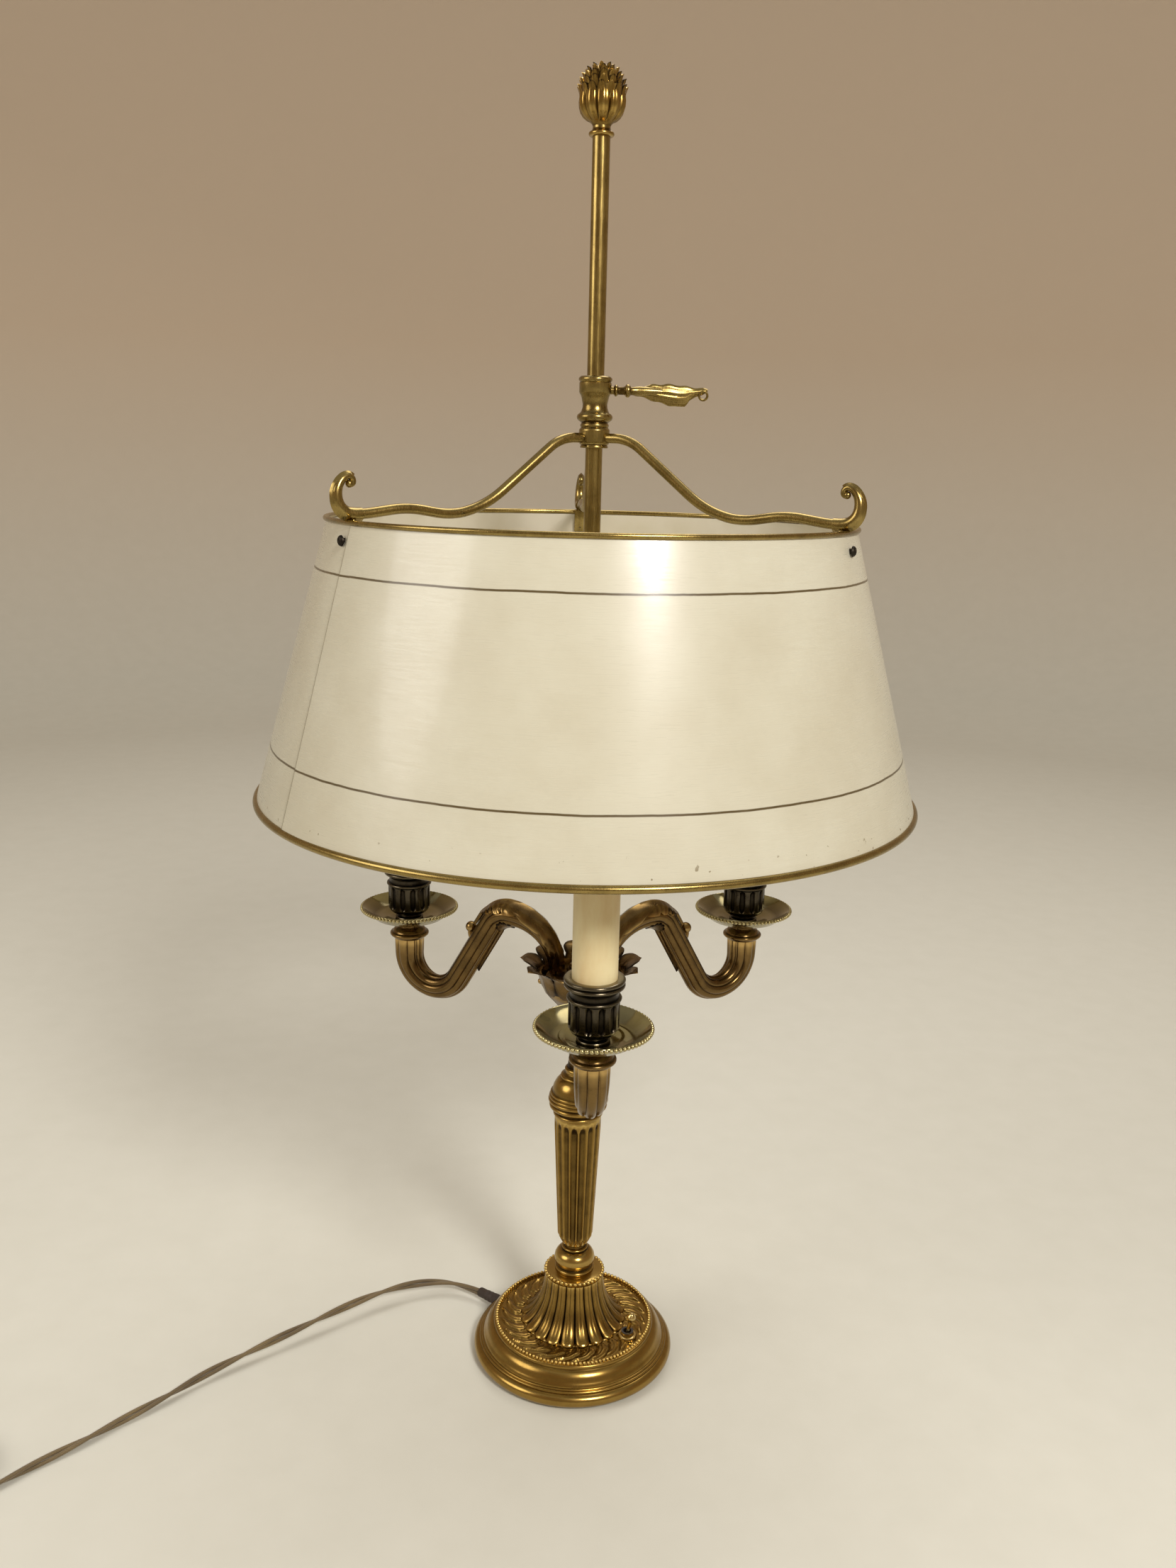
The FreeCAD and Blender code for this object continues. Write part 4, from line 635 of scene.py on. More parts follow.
def make_foot():
    """Felt, the cast dish with its rounded rim and pearls, and the leaf band on its plate."""
    felt = turned([(0, 0), (61.6, 0), (62, 0.5), (62, 1.1), (61.7, 1.5), (0, 1.5)])
    piece("felt_pad_edge", felt, "felt", ["felt_pad"])
    foot = turned([
        (0, 1.5), (63.4, 1.5, 0.30), (66.2, 5.4, 0.34), (63.0, 9.8), (62.5, 9.9), (62.5, 10.5, 0.5),
        (61.7, 11.5), (61.2, 11.5, 0.5), (60.4, 12.5), (60.0, 12.5), (59.9, 13.3, -0.12), (57.6, 17.4, 0.16),
        (53.9, 21.0), (53.3, 21.1), (53.2, 22.2, 0.3), (52.4, 23.2), (49.4, 23.2), (49.2, 22.6), (34.0, 22.6),
        (0, 22.6)], 144)
    pearls(foot, 51.0, 24.0, 1.24, 124)
    rows = 26
    relief = turned([(33.5 + 15.9 * row / rows, 22.7) for row in range(rows + 1)], 390)
    for vert in relief.verts:
        vert.co.z += relief_height(math.atan2(vert.co.y, vert.co.x), math.hypot(vert.co.x, vert.co.y))
    bmesh.ops.recalc_face_normals(relief, faces=relief.faces)
    if relief.faces[0].normal.z < 0:
        bmesh.ops.reverse_faces(relief, faces=relief.faces)
    piece("foot_casting", foot, "gilt_bronze", ["foot"])
    piece("foot_leaf_band", relief, "gilt_bronze")


def make_bell():
    """Long gadroons that spread to rounded petal tips on the foot."""
    petals = 20
    rows = [(34.6, 23.2), (34.4, 23.9), (33.4, 24.7), (31.9, 25.6), (30.2, 26.9), (28.5, 28.6), (26.9, 30.6),
            (25.4, 33.0), (24.0, 35.6), (22.8, 38.4), (21.7, 41.4), (20.8, 44.6), (20.1, 48.0), (19.6, 51.4),
            (19.4, 54.4), (19.2, 56.4)]
    corners = [(0, 22.9), (33.4, 22.9), *rows, (17.6, 57.0), (0, 57.0)]
    bm = turned(corners, petals * 14)
    base, top = 23.0, 56.0

    def grooves(turn, radius, height):
        share = (height - base) / (top - base)
        if not 0 <= share <= 1.02 or radius < 18.0:
            return 0.0
        u = share_of(turn, petals)
        wave = math.sin(math.pi * u)
        tips = 3.2 * math.exp(-((share - 0.02) / 0.07) ** 2)
        depth = 1.5 + tips + 0.6 * math.exp(-((share - 0.3) / 0.2) ** 2)
        rib = 0.5 * math.exp(-((u - 0.5) / 0.07) ** 2) * min(1.0, share * 6)
        return depth * (1 - wave ** 0.45) + rib

    carved(bm, grooves)
    collar = turned([(0, 56.2), (18.4, 56.2, 0.3), (19.6, 57.6), (18.8, 58.0), (18.8, 59.4), (16.4, 60.0),
                     (0, 60.0)])
    pearls(collar, 18.9, 58.7, 1.35, 40)
    piece("bell_casting", merged(bm, collar), "gilt_bronze", ["bell"])


# Knob, column and cap


def make_column():
    """Knob, fluted column, ringed cap and the hub's neck."""
    knob = turned([
        (0, 60), (12.4, 60.0, 0.5), (12.4, 62.2), (11.6, 62.5), (11.3, 63.4), (11.9, 63.8, 0.42),
        (10.2, 74.0), (8.2, 74.6), (8.0, 75.2, 0.8), (8.0, 76.6), (6.9, 77.0, -0.3), (7.4, 79.0), (8.2, 79.8),
        (0, 79.8)])
    piece("column_knob_turning", knob, "gilt_bronze", ["column_knob"])

    count = 16
    rows = [(8.6, 79.8), (10.0, 82.6), (11.4, 85.4), (11.5, 86.2), (11.55, 87.2), (11.6, 88.4)]
    rows += [(11.6 + 3.35 * step / 12, 88.4 + 74.6 * step / 12) for step in range(1, 13)]
    rows += [(14.98, 164.6), (15.0, 166.0), (15.0, 167.2), (15.0, 168.2), (15.0, 170.2), (14.2, 172.0)]
    bm = turned([(0, 79.8), *rows, (0, 172.0)], count * 12)

    def flutes(turn, radius, height):
        if radius < 8.0:
            return 0.0
        u = abs(share_of(turn, count) - 0.5)
        low = max(0.0, min(1.0, (height - 80.4) / 5.0))
        high = max(0.0, min(1.0, (168.4 - height) / 3.4))
        half = 0.37 * math.sqrt(max(0.0, 1 - (1 - min(low, high)) ** 2))
        if u >= half:
            return 0.0
        return 1.7 * min(low, high) ** 0.5 * math.sqrt(1 - (u / half) ** 2)

    piece("column_fluted", carved(bm, flutes), "gilt_bronze", ["column"])

    cap = turned([
        (0, 172), (15.4, 172.0, 0.5), (15.6, 174.2), (14.9, 174.6), (15.1, 175.6, -0.2), (17.4, 177.2, 0.75),
        (17.8, 180.0), (17.3, 180.5), (18.7, 181.4, 0.5), (18.9, 183.4), (18.3, 183.8, 0.5), (18.4, 185.6),
        (17.7, 186.0, 0.5), (17.6, 187.8), (16.8, 188.2, 0.20), (12.2, 197.4), (11.4, 197.8, 0.6),
        (10.9, 199.6), (8.8, 200.6, -0.2), (8.4, 202.5), (0, 202.5)])
    piece("column_cap_turning", cap, "gilt_bronze", ["column_cap"])

    neck = turned([
        (0, 202.5), (8.8, 202.5, 0.5), (8.4, 204.4), (7.4, 205.0, -0.08), (6.9, 219.0), (7.8, 219.6, 0.6),
        (9.4, 222.0), (9.6, 223.2, 0.5), (9.2, 225.8), (7.4, 226.6, -0.1), (7.2, 236.0, -0.25),
        (12.6, 245.4), (13.0, 247.0), (0, 247.0)])
    piece("hub_neck_turning", neck, "gilt_bronze", ["hub_neck"])


# Hub


CALYX_LINE = [(14.0, 248.0), (18.6, 253.0), (23.4, 258.4), (25.8, 264.0), (27.2, 268.8), (29.6, 272.8),
              (33.0, 275.4), (36.4, 276.6), (38.4, 276.0)]


def make_hub():
    """The calyx of nine leaves and the turned head inside it, with one small screw head."""
    cup = turned([(0, 247), (14.4, 247.0, -0.05), (23.2, 257.4), (25.4, 263.0), (26.4, 268.6), (25.2, 269.0),
                  (23.4, 262.0), (0, 262.0)], 108)

    def half_width(share):
        belly = 0.62 + 0.5 * math.sin(math.pi * min(1.0, share * 0.8))
        return 9.6 * belly * (1 - max(0, share - 0.72) ** 2 * 9)

    leaves = crown(smooth_path(CALYX_LINE), 9, 10, 0.4, half_width, 3, 22, 10, 1.1, 0.55)
    piece("hub_leaf_cup", merged(cup, leaves), "arm_bronze", ["hub_calyx"])

    head = turned([
        (0, 249), (13.0, 249.0), (22.6, 262.2), (22.8, 265.0, 0.4), (22.0, 266.2), (11.4, 266.4, -0.3),
        (9.4, 268.6), (8.8, 269.6, 0.6), (8.8, 271.6), (7.8, 272.2, 0.3), (6.4, 274.8), (5.2, 275.0),
        (0, 275.0)])
    bmesh.ops.create_uvsphere(head, u_segments=14, v_segments=9, radius=1.9,
                              matrix=Matrix.Translation((-25.4, 2.2, 262.0)))
    piece("hub_head_turning", head, "arm_bronze", ["hub_head"])


# Candle arms


def arm_stations():
    """(radius, height, direction, half width) from under the pan, round the loop and the hump, to the hub."""
    loop, hump = Vector((109, 258)), Vector((51, 282))
    loop_radius, hump_radius = 21.0, 16.5
    fall_width, fall_height = 33.0, 31.0
    down = -math.pi / 2
    line = hump - loop
    rise = math.atan2(line.y, line.x) - math.asin((loop_radius + hump_radius) / line.length)
    stations = [(CANDLE_CIRCLE, 269, down, 9.9), (CANDLE_CIRCLE, 264, down, 9.8)]
    steps = 26
    for step in range(steps + 1):
        turn = (rise - 1.5 * math.pi) * step / steps
        stations.append((loop.x + loop_radius * math.cos(turn), loop.y + loop_radius * math.sin(turn),
                         turn + down, 9.6 - 1.5 * min(1.0, 2.0 * step / steps)))
    steps = 14
    for step in range(steps + 1):
        turn = rise + down + (math.pi - rise) * step / steps
        stations.append((hump.x + hump_radius * math.cos(turn), hump.y + hump_radius * math.sin(turn),
                         turn - down, 8.1 + 0.2 * min(1.0, 1.5 * (step + 1) / steps)))
    steps = 12
    for step in range(1, steps + 1):
        turn = math.pi / 2 * (1 + step / steps)
        heading = math.atan2(fall_height * math.cos(turn), -fall_width * math.sin(turn))
        stations.append((hump.x + fall_width * math.cos(turn),
                         hump.y + hump_radius - fall_height + fall_height * math.sin(turn),
                         heading, 8.3 - 3.7 * step / steps))
    stations.append((18, 266, down, 4.6))
    return unwound(stations)


def unwound(stations):
    """The same stations with directions that don't jump by a full turn."""
    result = [stations[0]]
    for radius, height, heading, half in stations[1:]:
        before = result[-1][2]
        heading -= 2 * math.pi * round((heading - before) / (2 * math.pi))
        result.append((radius, height, heading, half))
    return result


def arm_frame(station):
    """Place, side, up and size of the arm's section at a station."""
    radius, height, heading, half = station
    across = Vector((-math.sin(heading), 0, math.cos(heading)))
    return Vector((radius, 0, height)), Vector((0, 1, 0)), across, half


def make_arms():
    """Reeded arms with acanthus leaves over and under the hump, a ball scroll and the pan's seat."""
    stations = arm_stations()
    reeds = 8
    count = reeds * 8
    section = []
    for step in range(count):
        turn = 2 * math.pi * step / count
        size = 0.86 + 0.14 * abs(math.cos(reeds / 2 * turn)) ** 0.55
        section.append((size * math.sin(turn), size * math.cos(turn)))
    arm = swept([arm_frame(station) for station in stations], section)

    def top_leaf(share):
        place, side, across, half = arm_frame(along_points(stations, 0.985 - 0.473 * share))
        wide = 13.0 * math.sin(math.pi * (0.16 + 0.78 * share)) ** 0.6
        return place, -across, side, half + 0.7 + 9.8 * max(0.0, share - 0.86), wide

    def under_leaf(share):
        place, side, across, half = arm_frame(along_points(stations, 0.78 - 0.275 * share))
        wide = 10.0 * math.sin(math.pi * (0.20 + 0.74 * share)) ** 0.6
        return place, across, side, half + 0.6 + 3.0 * max(0.0, share - 0.84), wide

    leaves = merged(leaf(top_leaf, 6, 60, 16, 1.4, 0.8), leaf(under_leaf, 5, 44, 14, 1.4, 0.7))
    curl = [(74.0, 276.0, 3.8), (77.6, 277.0, 3.5), (80.6, 279.2, 3.1), (81.8, 282.2, 2.7)]
    stalk = [(Vector((x, 0, z)), Vector((0, 1, 0)), Vector((0.6, 0, -0.8)), size)
             for x, z, size in smooth_path(curl, 3)]
    ball = swept(stalk, round_section(12))
    bmesh.ops.create_uvsphere(ball, u_segments=18, v_segments=12, radius=3.7,
                              matrix=Matrix.Translation((81.4, 0, 284.2)))
    receiver = turned([
        (0, 268.4), (9.2, 268.4, 0.3), (11.6, 270.0), (12.2, 270.2, 0.6), (12.2, 272.6), (11.2, 273.0, 0.2),
        (9.6, 275.0), (7.6, 275.8, -0.5), (7.6, 278.2), (8.4, 278.6, 0.6), (8.4, 280.6), (0, 280.8)], 64)
    receiver.transform(Matrix.Translation((CANDLE_CIRCLE, 0, 0)))
    arm = merged(arm, leaves, ball, receiver)
    on_each("cast_arm", arm, "arm_bronze", "candle_arm", CANDLES)


# Pans, cups, sleeves and bulbs


def on_each(name, bm, slot, node, places, reach=0.0, body="lamp"):
    """The same form at each named turn about the lamp's axis, one piece per node."""
    for place, angle in places:
        piece(name + "_" + place, moved(bm, angle, reach), slot, [node + "_" + place], body)
    bm.free()


def make_pans():
    """Thin polished pans with a beaded edge."""
    pan = turned([
        (0, 280.8), (9.6, 280.8, -0.06), (23.4, 283.4, -0.10), (30.6, 289.2), (31.0, 289.7, 0.6),
        (30.8, 290.9), (30.2, 290.6), (23.0, 284.9, 0.10), (10.2, 282.1, 0.06), (0, 282.0)], 96)
    pearls(pan, 31.3, 289.6, 1.25, 78)
    on_each("pan_dish", pan, "pan_brass", "drip_pan", CANDLES, CANDLE_CIRCLE)


def make_cups():
    """Dark candle cups with twelve long slots between two turned mouldings."""
    count = 12
    low, high = 290.4, 305.2
    rows = [(13.7, height) for height in
            (290.2, 290.7, 291.4, 292.2, 293.6, 297, 300.6, 302.2, 303.4, 304.4, 305.0, 305.4)]
    body = turned([
        (0, 282.0), (8.6, 282.0, 0.6), (8.6, 283.8), (7.2, 284.3, -0.3), (7.2, 285.8), (8.0, 286.2, 0.35),
        (13.2, 289.4), *rows, (14.2, 305.8, 0.6), (14.2, 307.6), (13.2, 308.0),
        (13.1, 309.0, -0.3),
        (14.4, 312.4), (15.0, 312.9, 0.9), (15.6, 315.2), (15.2, 315.6, 0.8), (15.7, 318.0), (14.6, 318.2),
        (12.4, 318.0), (12.35, 299.0), (0, 299.0)], count * 16)

    def slots(turn, radius, height):
        if not low - 0.1 < height < high + 0.1 or radius < 13.3:
            return 0.0
        u = abs(share_of(turn, count) - 0.5)
        end = min((height - low) / 1.8, (high - height) / 1.8, 1.0)
        half = 0.27 * math.sqrt(max(0.0, 1 - (1 - max(0.0, end)) ** 2))
        return 1.15 * min(1.0, (half - u) * 14) if u < half else 0.0

    on_each("cup_slotted", carved(body, slots), "cup_bronze", "candle_cup", CANDLES, CANDLE_CIRCLE)


def make_sleeves():
    """Card candle tubes and the lampholders inside them."""
    sleeve = turned([
        (11.35, 297.6), (12.2, 297.6), (12.2, 345.0), (12.2, 391.9, 0.3), (11.9, 392.5), (11.5, 392.5),
        (11.3, 392.1), (11.3, 345.0)], 72, closed=True)
    on_each("sleeve_tube", sleeve, "sleeve_card", "candle_sleeve", CANDLES, CANDLE_CIRCLE)
    holder = turned([
        (0, 354.5), (10.4, 354.5, 0.3), (11.0, 355.2), (11.0, 358.0), (10.5, 358.3), (10.5, 384.0),
        (11.0, 384.4), (11.0, 389.9), (10.5, 390.5), (7.6, 390.5), (7.15, 390.0), (7.15, 366.0),
        (0, 366.0)], 48)
    holders = moved_to_all(holder, CANDLES, CANDLE_CIRCLE)
    piece("holder_moulding", holders, "holder_plastic", ["lampholders"])


def make_bulbs():
    """Clear candle bulbs with a rolled screw cap and a simple filament."""
    thread = [(6.2 + (0.7 if step % 2 else 0.0), 369.8 + 1.28 * step, 0.0) for step in range(16)]
    cap = turned([
        (0, 365.5), (2.2, 365.5, 0.3), (3.0, 366.4), (5.8, 369.2), *thread, (6.6, 390.2), (8.2, 391.2),
        (8.4, 391.8), (8.4, 394.2), (0, 394.4)], 40)
    caps = moved_to_all(cap, CANDLES, CANDLE_CIRCLE)
    piece("bulb_cap_rolled", caps, "bulb_cap_metal", ["bulb_caps"])
    outer = [(7.3, 394.5, -0.05), (14.4, 407.2, 0.10), (17.5, 424.9, 0.10), (12.6, 450.4, -0.05),
             (4.6, 464.6, -0.12), (1.0, 470.2, 0.3), (0, 470.5)]
    glass = moved_to_all(turned([(0, 394.5), *outer], 56), CANDLES, CANDLE_CIRCLE)
    piece("bulb_glass_blown", glass, "bulb_glass", ["bulb_glasses"])
    stem = turned([(0, 394.6), (3.4, 394.6), (2.0, 404.0), (1.6, 412.0, 0.5), (0, 413.6)], 20)
    points = [(-4.2, 0, 411), (-5.4, 0, 424), (-3.0, 0, 437), (-1.4, 0, 430), (0, 0, 438), (1.4, 0, 430),
              (3.0, 0, 437), (5.4, 0, 424), (4.2, 0, 411)]
    path = [Vector(point) for point in smooth_path(points, 4)]
    path = [Vector((-1.2, 0, 408)), *path, Vector((1.2, 0, 408))]
    side = Vector((0, 1, 0))
    stations = [(place, side, side.cross(direction(path, index)), 0.22) for index, place in enumerate(path)]
    inside = moved_to_all(merged(stem, swept(stations, round_section(5))), CANDLES, CANDLE_CIRCLE)
    item = piece("bulb_filaments", inside, "bulb_cap_metal")
    item.data.materials[0] = FILAMENT


# Stem, slide and finial


def make_stem():
    """The drawn stem and its bud, ribbed below and set with rows of leaf tips above."""
    rod = turned([(0, 262), (4.9, 262), (4.9, 400), (4.9, 560), (4.9, 700), (4.9, 760.6), (4.5, 761),
                  (0, 761)], 48)
    piece("stem_drawn", rod, "stem_brass", ["stem_rod"])
    ribs = 10
    bud = turned([
        (0, 753.2), (6.4, 753.2, 0.6), (6.4, 755.4), (5.4, 756.0, -0.4), (5.6, 759.4), (6.4, 760.2),
        (8.6, 761.2), (10.6, 762.8), (12.2, 765.0), (13.1, 767.8), (13.3, 770.6), (12.9, 773.6),
        (12.0, 776.6), (10.6, 779.6), (8.9, 782.4), (7.0, 784.8), (4.9, 786.8), (2.6, 788.4),
        (0, 789.0)], ribs * 12)

    def lobes(turn, radius, height):
        if height < 760.6:
            return 0.0
        u = share_of(turn, ribs)
        fine = 0.35 * (0.5 + 0.5 * math.cos(6 * math.pi * u))
        return radius * 0.12 * (1 - math.sin(math.pi * u) ** 0.6) + fine * min(1.0, radius / 8)

    carved(bud, lobes)
    for height, reach, count, start, wide in ((773.4, 12.5, 15, 0, 2.5), (776.8, 11.5, 14, 13, 2.4),
                                              (779.8, 9.9, 12, 0, 2.3), (782.4, 7.8, 10, 18, 2.1),
                                              (784.4, 4.8, 7, 0, 1.8)):
        line = smooth_path([(reach - 1.8, height - 5.0), (reach - 0.1, height - 2.0),
                            (reach + 0.4, height + 1.2), (reach + 1.2, height + 3.6),
                            (reach + 1.7, height + 4.8)])

        def half_width(share):
            return wide * (1 - share ** 3) ** 0.6 + 0.2

        bud = merged(bud, crown(line, count, start, -0.5, half_width, 1, 8, 6, 0.8, 0.35))
    piece("finial_bud", bud, "gilt_bronze", ["finial"])


def make_slide():
    """The split liner on the stem, the carriers' ring and the clamp's collar."""
    liner = turned([(4.95, 588.8), (7.6, 588.8, 0.4), (8.0, 589.6), (7.6, 590.4), (5.7, 590.4), (5.7, 627.2),
                    (4.95, 627.2)], 48, closed=True)
    piece("slide_sleeve", liner, "stem_brass", ["slide_liner"], "slide")
    ring = turned([(5.8, 590.4), (7.4, 590.4, 0.2), (8.6, 591.6), (8.8, 592.4), (8.8, 598.2, 0.3),
                   (8.2, 599.6), (7.8, 600.2), (5.8, 600.2)], 64, closed=True)
    piece("carrier_ring_turning", ring, "stem_brass", ["carrier_ring"], "shade")
    collar = turned([
        (5.8, 600.2), (7.6, 600.2, 0.5), (7.8, 602.2), (7.6, 602.8), (9.0, 603.8, 0.55), (9.4, 607.6),
        (8.2, 608.4), (7.8, 609.2, -0.22), (7.5, 615.0, -0.1), (8.6, 618.4), (9.2, 619.4), (9.2, 624.6),
        (8.8, 624.9), (8.9, 625.3, 0.5), (9.1, 627.6), (8.4, 628.2), (5.8, 628.2)], 72, closed=True)
    piece("slider_turning", collar, "stem_brass", ["slider_collar"], "shade")


def key_leaf():
    """The thumb leaf: ribbed, widest past its middle, with a stepped tip and a small ring."""
    start, long = 20.5, 43.5
    upper = [(0.0, 1.8), (0.12, 2.6), (0.28, 3.9), (0.45, 4.3), (0.62, 3.9), (0.78, 3.0), (0.9, 2.6),
             (1.0, 2.2)]
    lower = [(0.0, -1.8), (0.12, -3.0), (0.30, -5.2), (0.48, -7.2), (0.62, -8.2), (0.72, -7.4),
             (0.76, -4.6), (1.0, 0.6)]
    bm = slab(34, 14)

    def edge(rows, share):
        near, far = next(pair for pair in zip(rows, rows[1:]) if share <= pair[1][0] or pair[1] is rows[-1])
        return near[1] + (far[1] - near[1]) * (share - near[0]) / (far[0] - near[0])

    for vert in bm.verts:
        share = (vert.co.x + 1) / 2
        across = (vert.co.y + 1) / 2
        under = -1.4 * vert.co.z
        low = edge(lower, share)
        height = low + (edge(upper, share) - low) * across
        teeth = 0.35 * math.sin(9 * math.pi * share) * (across * 2 - 1)
        ribs = 0.55 * abs(math.sin(math.pi * 4.0 * across)) * math.sin(math.pi * min(1.0, 0.1 + share))
        cup = 1.1 * math.sin(math.pi * across)
        vert.co = Vector((start + long * share, 0.2 - ribs - cup + under, height + teeth))
    bmesh.ops.recalc_face_normals(bm, faces=bm.faces)
    ring = []
    steps = 16
    for step in range(steps + 1):
        turn = 2 * math.pi * step / steps
        out = Vector((math.cos(turn), 0, math.sin(turn)))
        ring.append((Vector((61.6, -0.4, -1.6)) + out * 2.4, Vector((0, 1, 0)), out, 0.7))
    return merged(bm, swept(ring, round_section(8)))


def make_key():
    """The clamp key: a beaded stem that carries the thumb leaf."""
    stem = turned([(0, 5.85), (2.2, 5.85), (2.2, 10.4), (2.9, 11.0, 0.6), (2.9, 12.4), (2.3, 13.0),
                   (2.3, 16.4), (2.7, 17.0, 0.75), (2.7, 19.8), (2.3, 20.4), (2.7, 25.0), (2.4, 32.0),
                   (1.6, 38.0), (0, 39.0)], 28)
    stem.transform(Matrix.Rotation(math.radians(90), 4, "Y"))
    key = merged(stem, key_leaf())
    key.transform(Matrix.Translation((0, 0, 620.8)))
    bmesh.ops.recalc_face_normals(key, faces=key.faces)
    piece("key_cast_leaf", key, "stem_brass", ["clamp_key"], "key")


# Carriers and shade


def rod_path():
    """The carrier's line in its own plane: (radius, height) from the ring to the shade's rim."""
    corners = [(6.9, 594.32), (22.2, 594.32), (71.7, 555.0), (92.8, 551.4), (117.6, 555.4), (141.6, 552.0),
               (147.5, 552.0)]
    radii = [26, 60, 52, 60, 60]
    steps = 8
    points = [Vector(corners[0])]
    for index in range(1, len(corners) - 1):
        corner = Vector(corners[index])
        before = (Vector(corners[index - 1]) - corner).normalized()
        after = (Vector(corners[index + 1]) - corner).normalized()
        half = before.angle(after) / 2
        cut = radii[index - 1] / math.tan(half)
        centre = corner + (before + after).normalized() * (radii[index - 1] / math.sin(half))
        first = corner + before * cut - centre
        last = corner + after * cut - centre
        whole = first.angle_signed(last)
        for step in range(steps + 1):
            points.append(centre + Matrix.Rotation(-whole * step / steps, 2) @ first)
    return points


# The scroll at the rod's end: radius, height and half thickness.
SCROLL = [(144.0, 551.9, 2.8), (148.5, 551.8, 2.9), (152.6, 552.6, 2.9), (155.8, 555.2, 2.8),
          (157.4, 559.0, 2.6), (157.5, 563.2, 2.4), (156.2, 567.0, 2.1), (153.8, 570.0, 1.8),
          (150.8, 571.2, 1.5), (148.6, 569.9, 1.3), (148.3, 567.6, 1.2), (149.8, 566.4, 1.0)]
SCROLL_SWELL = 1.22


def flat_stations(points, sizes):
    """Stations in the XZ plane for a list of (x, z) places."""
    stations = []
    for index, (place, size) in enumerate(zip(points, sizes)):
        ahead = direction(points, index)
        up = Vector((-ahead.y, 0, ahead.x))
        stations.append((Vector((place.x, 0, place.y)), Vector((0, 1, 0)), up, size))
    return stations


def make_carriers():
    """Three bent rods from the ring to the rim, each with a leaf scroll and a lug for the shade's screw."""
    points = rod_path()
    rod = swept(flat_stations(points, [2.8] * len(points)), round_section(18))
    curl = smooth_path(SCROLL, 4)
    places = [Vector(item[:2]) for item in curl]
    stations = flat_stations(places, [item[2] * SCROLL_SWELL for item in curl])
    scroll = swept(stations, round_section(16, 1.12))

    def back_leaf(share):
        place, side, up, half = stations[round(share * 0.80 * (len(stations) - 1))]
        wide = 6.4 * math.sin(math.pi * (0.2 + 0.75 * share)) ** 0.6
        return place, -up, side, half + 0.15, wide

    scroll = merged(scroll, leaf(back_leaf, 4, 32, 10, 1.0, 0.6))
    bmesh.ops.create_uvsphere(scroll, u_segments=12, v_segments=8, radius=2.1,
                              matrix=Matrix.Translation((150.4, 0, 567.2)))
    lug = bmesh.new()
    bmesh.ops.create_cube(lug, size=1, matrix=Matrix.Diagonal((2.6, 8, 15.4, 1)))
    bmesh.ops.bevel(lug, geom=list(lug.edges), offset=0.6, segments=2, profile=0.5, affect="EDGES",
                    material=-1)
    lug.transform(Matrix.Translation((150.9, 0, 541.6)) @ Matrix.Rotation(math.radians(-14.6), 4, "Y"))
    whole = merged(rod, scroll, lug)
    bmesh.ops.recalc_face_normals(whole, faces=whole.faces)
    on_each("carrier_rod", whole, "stem_brass", "shade_arm", CARRIERS, 0.0, "shade")


def make_shade():
    """One rolled sheet whose front end laps over its back end, in a wire edge and a rolled foot."""
    rows, steps = 12, 252
    foot, top = 389.4, 546.0
    low, high = 195.0, 152.5
    gauge, rise = 0.6, 0.68
    ramp_turn = math.radians(16)
    out = spoke(SEAM + LAP)[0]
    start, end = out * low + Vector((0, 0, foot)), out * high + Vector((0, 0, top))
    bm = bmesh.new()
    verts = [bm.verts.new(start.lerp(end, row / rows)) for row in range(rows + 1)]
    edges = [bm.edges.new(pair) for pair in zip(verts, verts[1:])]
    whole = 2 * math.pi + math.radians(LAP)
    bmesh.ops.spin(bm, geom=verts + edges, cent=(0, 0, 0), axis=(0, 0, 1), angle=-whole, steps=steps,
                   use_merge=False)
    bm.verts.index_update()
    for vert in bm.verts:
        walked = whole * (vert.index // (rows + 1)) / steps
        ramp = max(0.0, min(1.0, (walked - 2 * math.pi + ramp_turn) / ramp_turn))
        lift = rise * (ramp * ramp * (3 - 2 * ramp) - 1)
        radius = math.hypot(vert.co.x, vert.co.y)
        vert.co.x *= (radius + lift) / radius
        vert.co.y *= (radius + lift) / radius
    first = bm.faces[:][0]
    if first.normal.dot(first.calc_center_median() * Vector((1, 1, 0))) < 0:
        bmesh.ops.reverse_faces(bm, faces=bm.faces)
    bmesh.ops.solidify(bm, geom=list(bm.faces), thickness=gauge)
    bmesh.ops.recalc_face_normals(bm, faces=bm.faces)
    for face in bm.faces:
        outwards = face.calc_center_median()
        outwards.z = 0
        if face.normal.dot(outwards.normalized()) < -0.3:
            face.material_index = 1
    piece("shade_rolled_sheet", bm, "shade_paint", ["shade_shell"], "shade", 30, [SHADE_INSIDE])
    for name, radius, height, size, node in (("shade_wire_edge", 151.9, 547.5, 1.5, "shade_top_wire"),
                                             ("shade_rolled_foot", 194.6, 387.2, 2.2, "shade_foot_roll")):
        inner, outer = radius - size, radius + size
        ring = turned([(inner, height, -1), (outer, height, -1), (inner, height)], 240)
        bmesh.ops.remove_doubles(ring, verts=ring.verts, dist=0.001)
        piece(name, ring, "stem_brass", [node], "shade")


def make_shade_screws():
    """Slotted screws that hold the sheet to the carriers' lugs."""
    head = turned([(0, -4.6), (1.5, -4.6), (1.5, 0), (3.0, 0, 0.3), (1.6, 1.8, 0.1), (0, 2.0)], 24)
    for vert in head.verts:
        if vert.co.z > 1.0 and abs(vert.co.y) < 0.45:
            vert.co.z -= 0.7
    head.transform(Matrix.Translation((155.3, 0, 538.2)) @ Matrix.Rotation(math.radians(90), 4, "Y"))
    piece("shade_screw_heads", moved_to_all(head, CARRIERS), "screw_steel", ["shade_screws"], "shade")


# Switch


